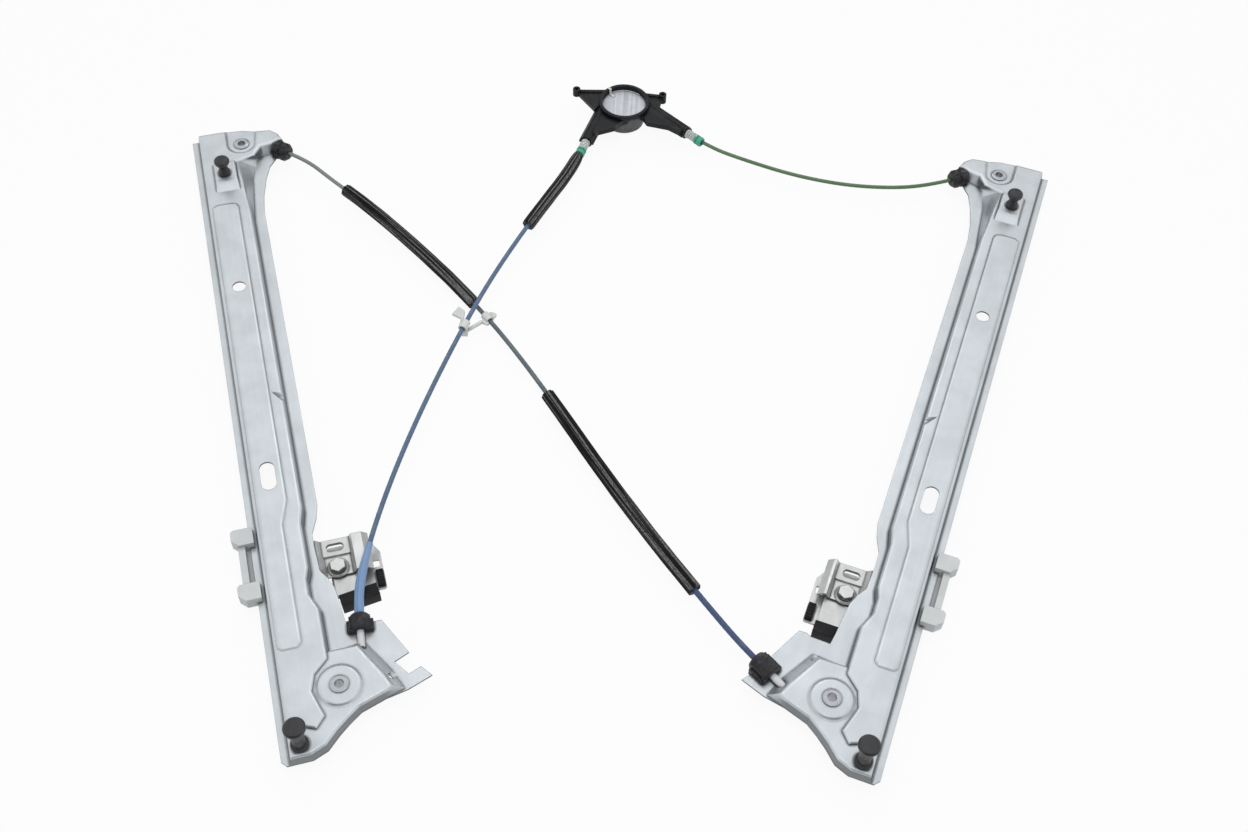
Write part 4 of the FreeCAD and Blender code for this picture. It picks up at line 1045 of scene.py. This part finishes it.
@dataclass
class CrossConduit(Conduit):
    """The long conduit from the left head to the right foot, in three looks that meet in its foams."""

    def stretches(self) -> list[Stretch]:
        """The pale, grey and navy stretches.

        Returns:
            The stretches, from the head to the foot.
        """
        first, second = (self.line.middle(run) for run in LOOK_RUNS)
        return [Stretch("_head_jacket", "conduit_pale", PALE_R, first),
                Stretch("_mid_jacket", "conduit_grey", SLIM_R, second),
                Stretch("_foot_jacket", "conduit_navy", NAVY_R, self.line.length)]


def bell(turn: float, middle: float, width: float) -> float:
    """A soft bump of height 1 round one turn of a section."""
    return math.exp(-((turn - middle) / width) ** 2)


@dataclass
class FoamSleeve:
    """A foam sleeve round a conduit that keeps it from rattling."""

    node: str
    line: Line
    start: float
    end: float
    radius: float = 5.5 * MM
    slack: float = 0.1 * MM
    rib: float = 0.22 * MM
    ribs: int = 9
    rib_waver: float = 0.5
    rib_pace: float = 22.0
    wander: float = 0.15 * MM
    wander_round: float = 1.3
    wander_along: float = 60.0
    seam: float = 0.45 * MM
    seam_turn: float = 2.35
    seam_width: float = 0.16
    neck: float = 0.0
    neck_reach: float = 5.0 * MM

    def section(self, turn: float, way: float) -> float:
        """The outer radius, with drawn ribs, a slack surface and a start that can be pressed in."""
        waver = self.rib_waver * math.sin(way * self.rib_pace)
        ribs = self.rib * math.cos(self.ribs * turn + waver)
        across = (math.cos(turn) * self.wander_round, math.sin(turn) * self.wander_round)
        wander = noise.noise(Vector((*across, way * self.wander_along)))
        seam = self.seam * bell(turn, self.seam_turn, self.seam_width)
        pressed = self.neck * math.exp(-(way - self.start) / self.neck_reach)
        return self.radius - self.slack + ribs + self.wander * wander - seam - pressed

    def build(self, palette: Palette) -> None:
        """Builds the sleeve.

        Args:
            palette: The finishes.
        """
        tube = Tube(self.line, self.start, self.end, self.section, SLEEVE_BORE, step=1.0 * MM, around=56)
        piece = tube.build(self.node + "_soft")
        settle(piece, palette, "black_foam", "base", self.node)


@dataclass
class GuardSleeve:
    """The flat guard sleeve of the left conduit, slit along its length."""

    line: Line
    start: float
    end: float
    radius: float = 3.5 * MM
    neck: float = 2.45 * MM
    widens_at: float = 0.28
    widens_fast: float = 14.0
    slit: float = 0.4 * MM
    slit_turn: float = 1.2
    slit_width: float = 0.14
    lap: float = 0.2 * MM
    lap_turn: float = 1.5
    lap_width: float = 0.2

    def section(self, turn: float, way: float) -> float:
        """The outer radius: thin where it starts, wider towards the foot, with a slit on top."""
        share = (way - self.start) / (self.end - self.start)
        widened = 1.0 / (1.0 + math.exp(-(share - self.widens_at) * self.widens_fast))
        slit = self.slit * bell(turn, self.slit_turn, self.slit_width)
        lap = self.lap * bell(turn, self.lap_turn, self.lap_width)
        return self.neck + (self.radius - self.neck) * widened - (slit - lap) * widened

    def build(self, palette: Palette) -> None:
        """Builds the sleeve.

        Args:
            palette: The finishes.
        """
        tube = Tube(self.line, self.start, self.end, self.section, SLEEVE_BORE, step=1.5 * MM, around=48)
        settle(tube.build("guard_sleeve_slit"), palette, "guard_blue", "base", "guard_sleeve")


@dataclass
class TensionSleeve:
    """The clear ribbed sleeve at a housing arm, with the spring inside it."""

    side: Side
    line: Line
    radius: float = 3.75 * MM
    bore: float = 2.95 * MM
    rib: float = 0.42 * MM
    ribs: int = 5
    rib_shift: float = 0.45
    wire: float = 0.32 * MM
    wire_gap: float = 0.15 * MM
    turns: int = 7
    turn_steps: int = 14

    def section(self, turn: float, way: float) -> float:
        """The outer radius, in and out with each rib."""
        share = (way - CONDUIT_SEAT) / SPRING_LENGTH * self.ribs
        return self.radius + self.rib * math.cos(math.tau * (share - self.rib_shift))

    def coil(self) -> Line:
        """The line of the spring.

        Returns:
            The line, wound about the conduit.
        """
        start = CONDUIT_SEAT + self.wire
        end = CONDUIT_SEAT + SPRING_LENGTH - self.wire
        frames = self.line.frames(start, end, SPRING_LENGTH / (self.turns * self.turn_steps))
        reach = CONDUIT_R + self.wire + self.wire_gap
        spots = []
        for index, (spot, across, up, _) in enumerate(frames):
            turn = math.tau * self.turns * index / (len(frames) - 1)
            spots.append(tuple(spot + across * (reach * math.cos(turn)) + up * (reach * math.sin(turn))))
        return Line(spots)

    def build(self, palette: Palette) -> None:
        """Builds the sleeve and the spring.

        Args:
            palette: The finishes.
        """
        name = self.side.value
        tube = Tube(self.line, CONDUIT_SEAT, CONDUIT_SEAT + SPRING_LENGTH, self.section, self.bore,
                    step=0.4 * MM, around=40)
        clear = tube.build(name + "_clear_sleeve")
        settle(clear, palette, "clear_plastic", "base", name + "_tension_spring")
        winding = self.coil()
        round_wire = Tube(winding, 0.0, winding.length, lambda turn, way: self.wire, 0.0,
                          step=0.45 * MM, around=10)
        settle(round_wire.build(name + "_spring_wire"), palette, "bolt_steel", "base")


@dataclass
class RailPlace:
    """The frame of one rail: v across it towards the other rail, u from foot to head."""

    side: Side
    foot_v: float = 1.7 * MM
    span: float = 550.0 * MM
    web_z: float = 26.0 * MM

    def __post_init__(self) -> None:
        """Works out the frame from the two rivets."""
        low = self.middle("_foot_rivet")
        high = self.middle("_head_rivet")
        lean = math.atan2(2 * self.foot_v, self.span)
        hand = 1.0 if self.side is Side.LEFT else -1.0
        raw = math.atan2(high.y - low.y, high.x - low.x) - math.pi / 2
        self.tilt = raw - hand * lean
        self.along = Vector((-math.sin(self.tilt), math.cos(self.tilt), 0.0))
        self.across = Vector((math.cos(self.tilt), math.sin(self.tilt), 0.0)) * hand
        self.origin = low - self.across * self.foot_v
        self.origin.z = self.web_z

    def middle(self, ending: str) -> Vector:
        """The middle of a node of this side."""
        low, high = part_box(self.side.value + ending)
        return (low + high) / 2

    def at(self, v: float, u: float, z: float) -> Vector:
        """The point at v, u and z of the rail."""
        return self.origin + self.across * v + self.along * u + Vector((0.0, 0.0, z))


def side_finishes(side: Side) -> dict[str, str]:
    """The finish of each solid of one side.

    Args:
        side: The side.

    Returns:
        The finish for each node's ending.
    """
    return {
        "_rail": "rail_steel_" + side.value, "_foot_rivet": "rivet_steel", "_head_rivet": "rivet_steel",
        "_foot_pulley": "pulley_plastic", "_head_pulley": "pulley_plastic", "_foot_stud": "stud_steel",
        "_head_stud": "stud_steel", "_rail_cable": "cable_steel", "_head_cap": "black_plastic",
        "_foot_connector": "black_plastic", "_foot_spout": "liner_plastic", "_guide": "guide_plastic",
        "_bracket": "bracket_steel", "_clamp_plate": "bracket_steel", "_clamp_bolt": "bolt_steel",
        "_cable_anchor": "guide_plastic", "_cable_nipples": "nipple_zinc", "_ferrule": "green_plastic",
        "_drum_cable": "cable_steel"}


@dataclass
class Cushion:
    """The rubber block that the lower edge of the glass rests on."""

    rail: RailPlace
    left: float
    right: float
    low: float
    high: float
    turn: float
    pivot: float = 3.0 * MM
    height: float = 11.9 * MM
    teeth: int = 2
    tooth: float = 1.0 * MM
    bevel: float = 0.6 * MM

    def outline(self) -> list[tuple[float, float]]:
        """The outline from above, toothed at its outer end and turned a little.

        Returns:
            The corners as v and u.
        """
        points = [(self.left, self.low), (self.right, self.low)]
        pitch = (self.high - self.low) / (2 * self.teeth + 1)
        for tooth in range(self.teeth):
            base = self.low + 2 * tooth * pitch
            for share, depth in ((1.0, 0.0), (1.3, self.tooth), (1.8, self.tooth), (2.0, 0.0)):
                points.append((self.right - depth, base + share * pitch))
        points += [(self.right, self.high), (self.left, self.high)]
        middle = Vector(((self.left + self.right) / 2, self.high - self.pivot))
        spin = Matrix.Rotation(self.turn, 2)
        return [tuple(middle + spin @ (Vector(point) - middle)) for point in points]

    def build(self, palette: Palette, body: str) -> None:
        """Builds the cushion.

        Args:
            palette: The finishes.
            body: The body that carries it.
        """
        side = self.rail.side.value
        mesh = bmesh.new()
        corners = [self.rail.at(v, u, -self.rail.web_z) for v, u in self.outline()]
        floor = mesh.faces.new([mesh.verts.new(corner) for corner in corners])
        grown = bmesh.ops.extrude_face_region(mesh, geom=[floor])
        lifted = [item for item in grown["geom"] if isinstance(item, bmesh.types.BMVert)]
        bmesh.ops.translate(mesh, verts=lifted, vec=(0.0, 0.0, self.height))
        soften(mesh, self.bevel, 3)
        piece = new_piece(side + "_glass_cushion", mesh, RUBBER_SHARP)
        settle(piece, palette, "cushion_rubber", body, side + "_cushion")


@dataclass
class SidePad:
    """The small ribbed pad at the edge of the clamp plate."""

    rail: RailPlace
    right: float
    low: float
    length: float = 13.0 * MM
    width: float = 5.4 * MM
    base: float = -23.3 * MM
    height: float = 4.2 * MM
    ribs: int = 5
    groove: float = 0.6 * MM
    bevel: float = 0.25 * MM

    def profile(self) -> list[tuple[float, float]]:
        """The outline from the side, with its ribs.

        Returns:
            The corners as u and z.
        """
        pitch = self.length / self.ribs
        low = self.height - self.groove
        points = [(self.low, 0.0)]
        for rib in range(self.ribs):
            start = self.low + rib * pitch
            for share, z in ((0.05, low), (0.25, self.height), (0.75, self.height), (0.95, low)):
                points.append((start + share * pitch, z))
        points.append((self.low + self.length, 0.0))
        return points

    def build(self, palette: Palette, body: str) -> None:
        """Builds the pad.

        Args:
            palette: The finishes.
            body: The body that carries it.
        """
        side = self.rail.side.value
        mesh = bmesh.new()
        ends = []
        for v in (self.right - self.width, self.right):
            ends.append([mesh.verts.new(self.rail.at(v, u, self.base + z)) for u, z in self.profile()])
        mesh.faces.new(ends[0])
        mesh.faces.new(ends[1])
        for index in range(len(ends[0])):
            on = (index + 1) % len(ends[0])
            mesh.faces.new([ends[0][index], ends[0][on], ends[1][on], ends[1][index]])
        soften(mesh, self.bevel, 2)
        piece = new_piece(side + "_ribbed_pad", mesh, RUBBER_SHARP)
        settle(piece, palette, "cushion_rubber", body, side + "_side_pad")


@dataclass
class RailSide:
    """One rail with its carrier: finishes of the solids, and the rubber pieces."""

    side: Side
    cushion: tuple[float, float, float, float]
    cushion_turn: float
    pad_right: float
    pad_gap: float = 3.0 * MM

    def build(self, frame: dict, palette: Palette) -> None:
        """Dresses the solids and builds the rubber pieces.

        Args:
            frame: The loaded frame.
            palette: The finishes.
        """
        for ending, finish in side_finishes(self.side).items():
            palette.dress(frame["nodes"][self.side.value + ending], finish)
        rail = RailPlace(self.side)
        carrier = self.side.value + "_carrier"
        Cushion(rail, *self.cushion, self.cushion_turn).build(palette, carrier)
        SidePad(rail, self.pad_right, self.cushion[3] + self.pad_gap).build(palette, carrier)
        log.info("%s side dressed, tilt %.2f degrees", self.side.value, math.degrees(rail.tilt))


class DrumUnit:
    """The cable drum in its housing, and the clip where two conduits cross."""

    FINISHES = {"drum_housing": "housing_plastic", "drum_cover": "cover_plastic", "cover_tab": "tab_paper",
                "bearing_sleeve": "collar_plastic", "cable_drum": "pulley_plastic",
                "crossing_clip": "clip_plastic"}

    def build(self, frame: dict, palette: Palette) -> None:
        """Dresses the solids.

        Args:
            frame: The loaded frame.
            palette: The finishes.
        """
        for node, finish in self.FINISHES.items():
            palette.dress(frame["nodes"][node], finish)
        log.info("drum unit dressed")


def bare_material(name: str) -> tuple[bpy.types.Material, Graph]:
    """Makes a material with no nodes.

    Args:
        name: The material's name.

    Returns:
        The material and its graph.
    """
    material = bpy.data.materials.new(name)
    material.use_nodes = True
    material.node_tree.nodes.clear()
    return material, Graph(material.node_tree)


@dataclass
class Lamp:
    """A square softbox that faces the object."""

    name: str
    place: Place
    size: float
    power: float
    mirrored: bool = True

    def build(self) -> None:
        """Adds the lamp."""
        data = bpy.data.lights.new(self.name, "AREA")
        data.size = self.size
        data.energy = self.power
        lamp = bpy.data.objects.new(self.name, data)
        lamp.location = self.place
        lamp.visible_glossy = self.mirrored
        lamp.rotation_euler = (-Vector(self.place)).to_track_quat("-Z", "Y").to_euler()
        bpy.context.scene.collection.objects.link(lamp)


@dataclass
class Flag:
    """An upright dark panel across the set, seen only in what is glossy."""

    name: str
    half: float
    depth: float
    height: float
    tone: float

    def build(self) -> None:
        """Adds the panel."""
        mesh = bmesh.new()
        corners = [(-self.half, 0.0), (self.half, 0.0), (self.half, self.height), (-self.half, self.height)]
        mesh.faces.new([mesh.verts.new((x, self.depth, z)) for x, z in corners])
        panel = new_piece(self.name, mesh)
        material, graph = bare_material(self.name)
        dark = graph.add("Emission", {"Color": color4((self.tone,) * 3), "Strength": 1.0})
        graph.add("OutputMaterial", {"Surface": dark.outputs[0]})
        panel.data.materials.append(material)
        panel.visible_camera = False
        panel.visible_diffuse = False
        panel.visible_shadow = False
        panel.visible_transmission = False


@dataclass
class Studio:
    """Camera, lamps, white surround and floor."""

    ambient: float = 0.45
    ambient_color: Color = (0.97, 0.985, 1.0)
    floor_size: float = 8.0
    floor_drop: float = 0.5 * MM
    floor_color: Color = (0.86, 0.865, 0.87)
    floor_white: float = 0.93

    def camera(self) -> None:
        """Places the camera of the photograph."""
        forward = Vector(CAMERA_FORWARD).normalized()
        level = forward.cross(Vector((0.0, 0.0, 1.0))).normalized()
        up = level.cross(forward)
        axes = Matrix((level, up, -forward)).transposed()
        turned = axes @ Matrix.Rotation(math.radians(CAMERA_ROLL), 3, "Z")
        data = bpy.data.cameras.new("camera")
        data.lens = CAMERA_LENS
        data.sensor_width = SENSOR_WIDTH
        data.clip_start = 10.0 * MM
        camera = bpy.data.objects.new("camera", data)
        camera.matrix_world = Matrix.Translation(CAMERA_PLACE) @ turned.to_4x4()
        bpy.context.scene.collection.objects.link(camera)
        bpy.context.scene.camera = camera

    def seen(self, graph: Graph) -> bpy.types.NodeSocket:
        """One where a ray that shows the surround arrives, else zero.

        Args:
            graph: The graph that uses it.

        Returns:
            The socket with the value.
        """
        path = graph.add("LightPath")
        first = graph.math("MAXIMUM", path.outputs[Ray.CAMERA.value], path.outputs[Ray.GLOSSY.value])
        return graph.math("MAXIMUM", first, path.outputs[Ray.TRANSMISSION.value])

    def world(self) -> None:
        """A white surround whose light is softer than it looks."""
        world = bpy.data.worlds.new("surround")
        world.use_nodes = True
        bpy.context.scene.world = world
        world.node_tree.nodes.clear()
        graph = Graph(world.node_tree)
        light = graph.add("Background", {"Color": color4(self.ambient_color), "Strength": self.ambient})
        white = graph.add("Background", {"Color": color4(WHITE), "Strength": 1.0})
        both = graph.add("MixShader", {0: self.seen(graph), 1: light.outputs[0], 2: white.outputs[0]})
        graph.add("OutputWorld", {"Surface": both.outputs[0]})

    def floor(self) -> None:
        """A plain pale floor that keeps a soft shadow."""
        mesh = bmesh.new()
        half = self.floor_size / 2
        corners = [(-half, -half), (half, -half), (half, half), (-half, half)]
        mesh.faces.new([mesh.verts.new((x, y, -self.floor_drop)) for x, y in corners])
        floor = new_piece("floor", mesh)
        material, graph = bare_material("floor_white")
        matt = graph.add("BsdfDiffuse", {"Color": color4(self.floor_color)})
        glow = graph.add("Emission", {"Color": color4(WHITE), "Strength": 1.0})
        share = graph.math("MULTIPLY", self.seen(graph), self.floor_white)
        both = graph.add("MixShader", {0: share, 1: matt.outputs[0], 2: glow.outputs[0]})
        graph.add("OutputMaterial", {"Surface": both.outputs[0]})
        floor.data.materials.append(material)

    def build(self) -> None:
        """Builds the whole studio."""
        bpy.context.scene.view_settings.view_transform = "Standard"
        self.camera()
        self.world()
        self.floor()
        Flag("back_flag", half=1.5, depth=1.9, height=0.85, tone=0.06).build()
        Flag("front_flag", half=1.6, depth=-1.9, height=1.25, tone=0.08).build()
        Lamp("key", place=(0.0, -0.35, 1.9), size=1.4, power=15.0, mirrored=False).build()
        Lamp("sky", place=(0.0, 1.25, 1.6), size=1.1, power=3.4).build()
        Lamp("zenith", place=(0.0, -0.25, 1.9), size=0.7, power=1.4).build()
        log.info("studio ready")


def main() -> None:
    """Builds every class in order and reports each piece."""
    logging.basicConfig(level=logging.INFO, format="%(name)s %(message)s")
    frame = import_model()
    Studio().build()
    cross = CrossConduit("cross_conduit", CROSS_ROUTE, "conduit_grey")
    left_foot = Conduit("left_foot_conduit", LEFT_FOOT_ROUTE, "conduit_blue")
    right_head = Conduit("right_head_conduit", RIGHT_HEAD_ROUTE, "conduit_green", GREEN_R)
    palette = Palette()
    for conduit in (cross, left_foot, right_head):
        conduit.build(palette)
    start, end = (cross.line.middle(run) for run in UPPER_FOAM_RUNS)
    FoamSleeve("cross_upper_foam", cross.line, start, end - UPPER_FOAM_SHORT).build(palette)
    start, end = (cross.line.middle(run) for run in LOWER_FOAM_RUNS)
    FoamSleeve("cross_lower_foam", cross.line, start, end).build(palette)
    start = CONDUIT_SEAT + SPRING_LENGTH + FERRULE_LENGTH
    end = left_foot.line.middle(DRUM_FOAM_RUN)
    FoamSleeve("drum_foam", left_foot.line, start, end, neck=DRUM_FOAM_NECK).build(palette)
    start = left_foot.line.middle(GUARD_RUN)
    end = left_foot.line.length - CONDUIT_SEAT
    GuardSleeve(left_foot.line, start, end).build(palette)
    TensionSleeve(Side.LEFT, left_foot.line).build(palette)
    TensionSleeve(Side.RIGHT, right_head.line).build(palette)
    RailSide(Side.LEFT, LEFT_CUSHION, LEFT_CUSHION_TURN, LEFT_PAD_RIGHT).build(frame, palette)
    RailSide(Side.RIGHT, RIGHT_CUSHION, 0.0, RIGHT_PAD_RIGHT).build(frame, palette)
    DrumUnit().build(frame, palette)


if __name__ == "__main__":
    main()
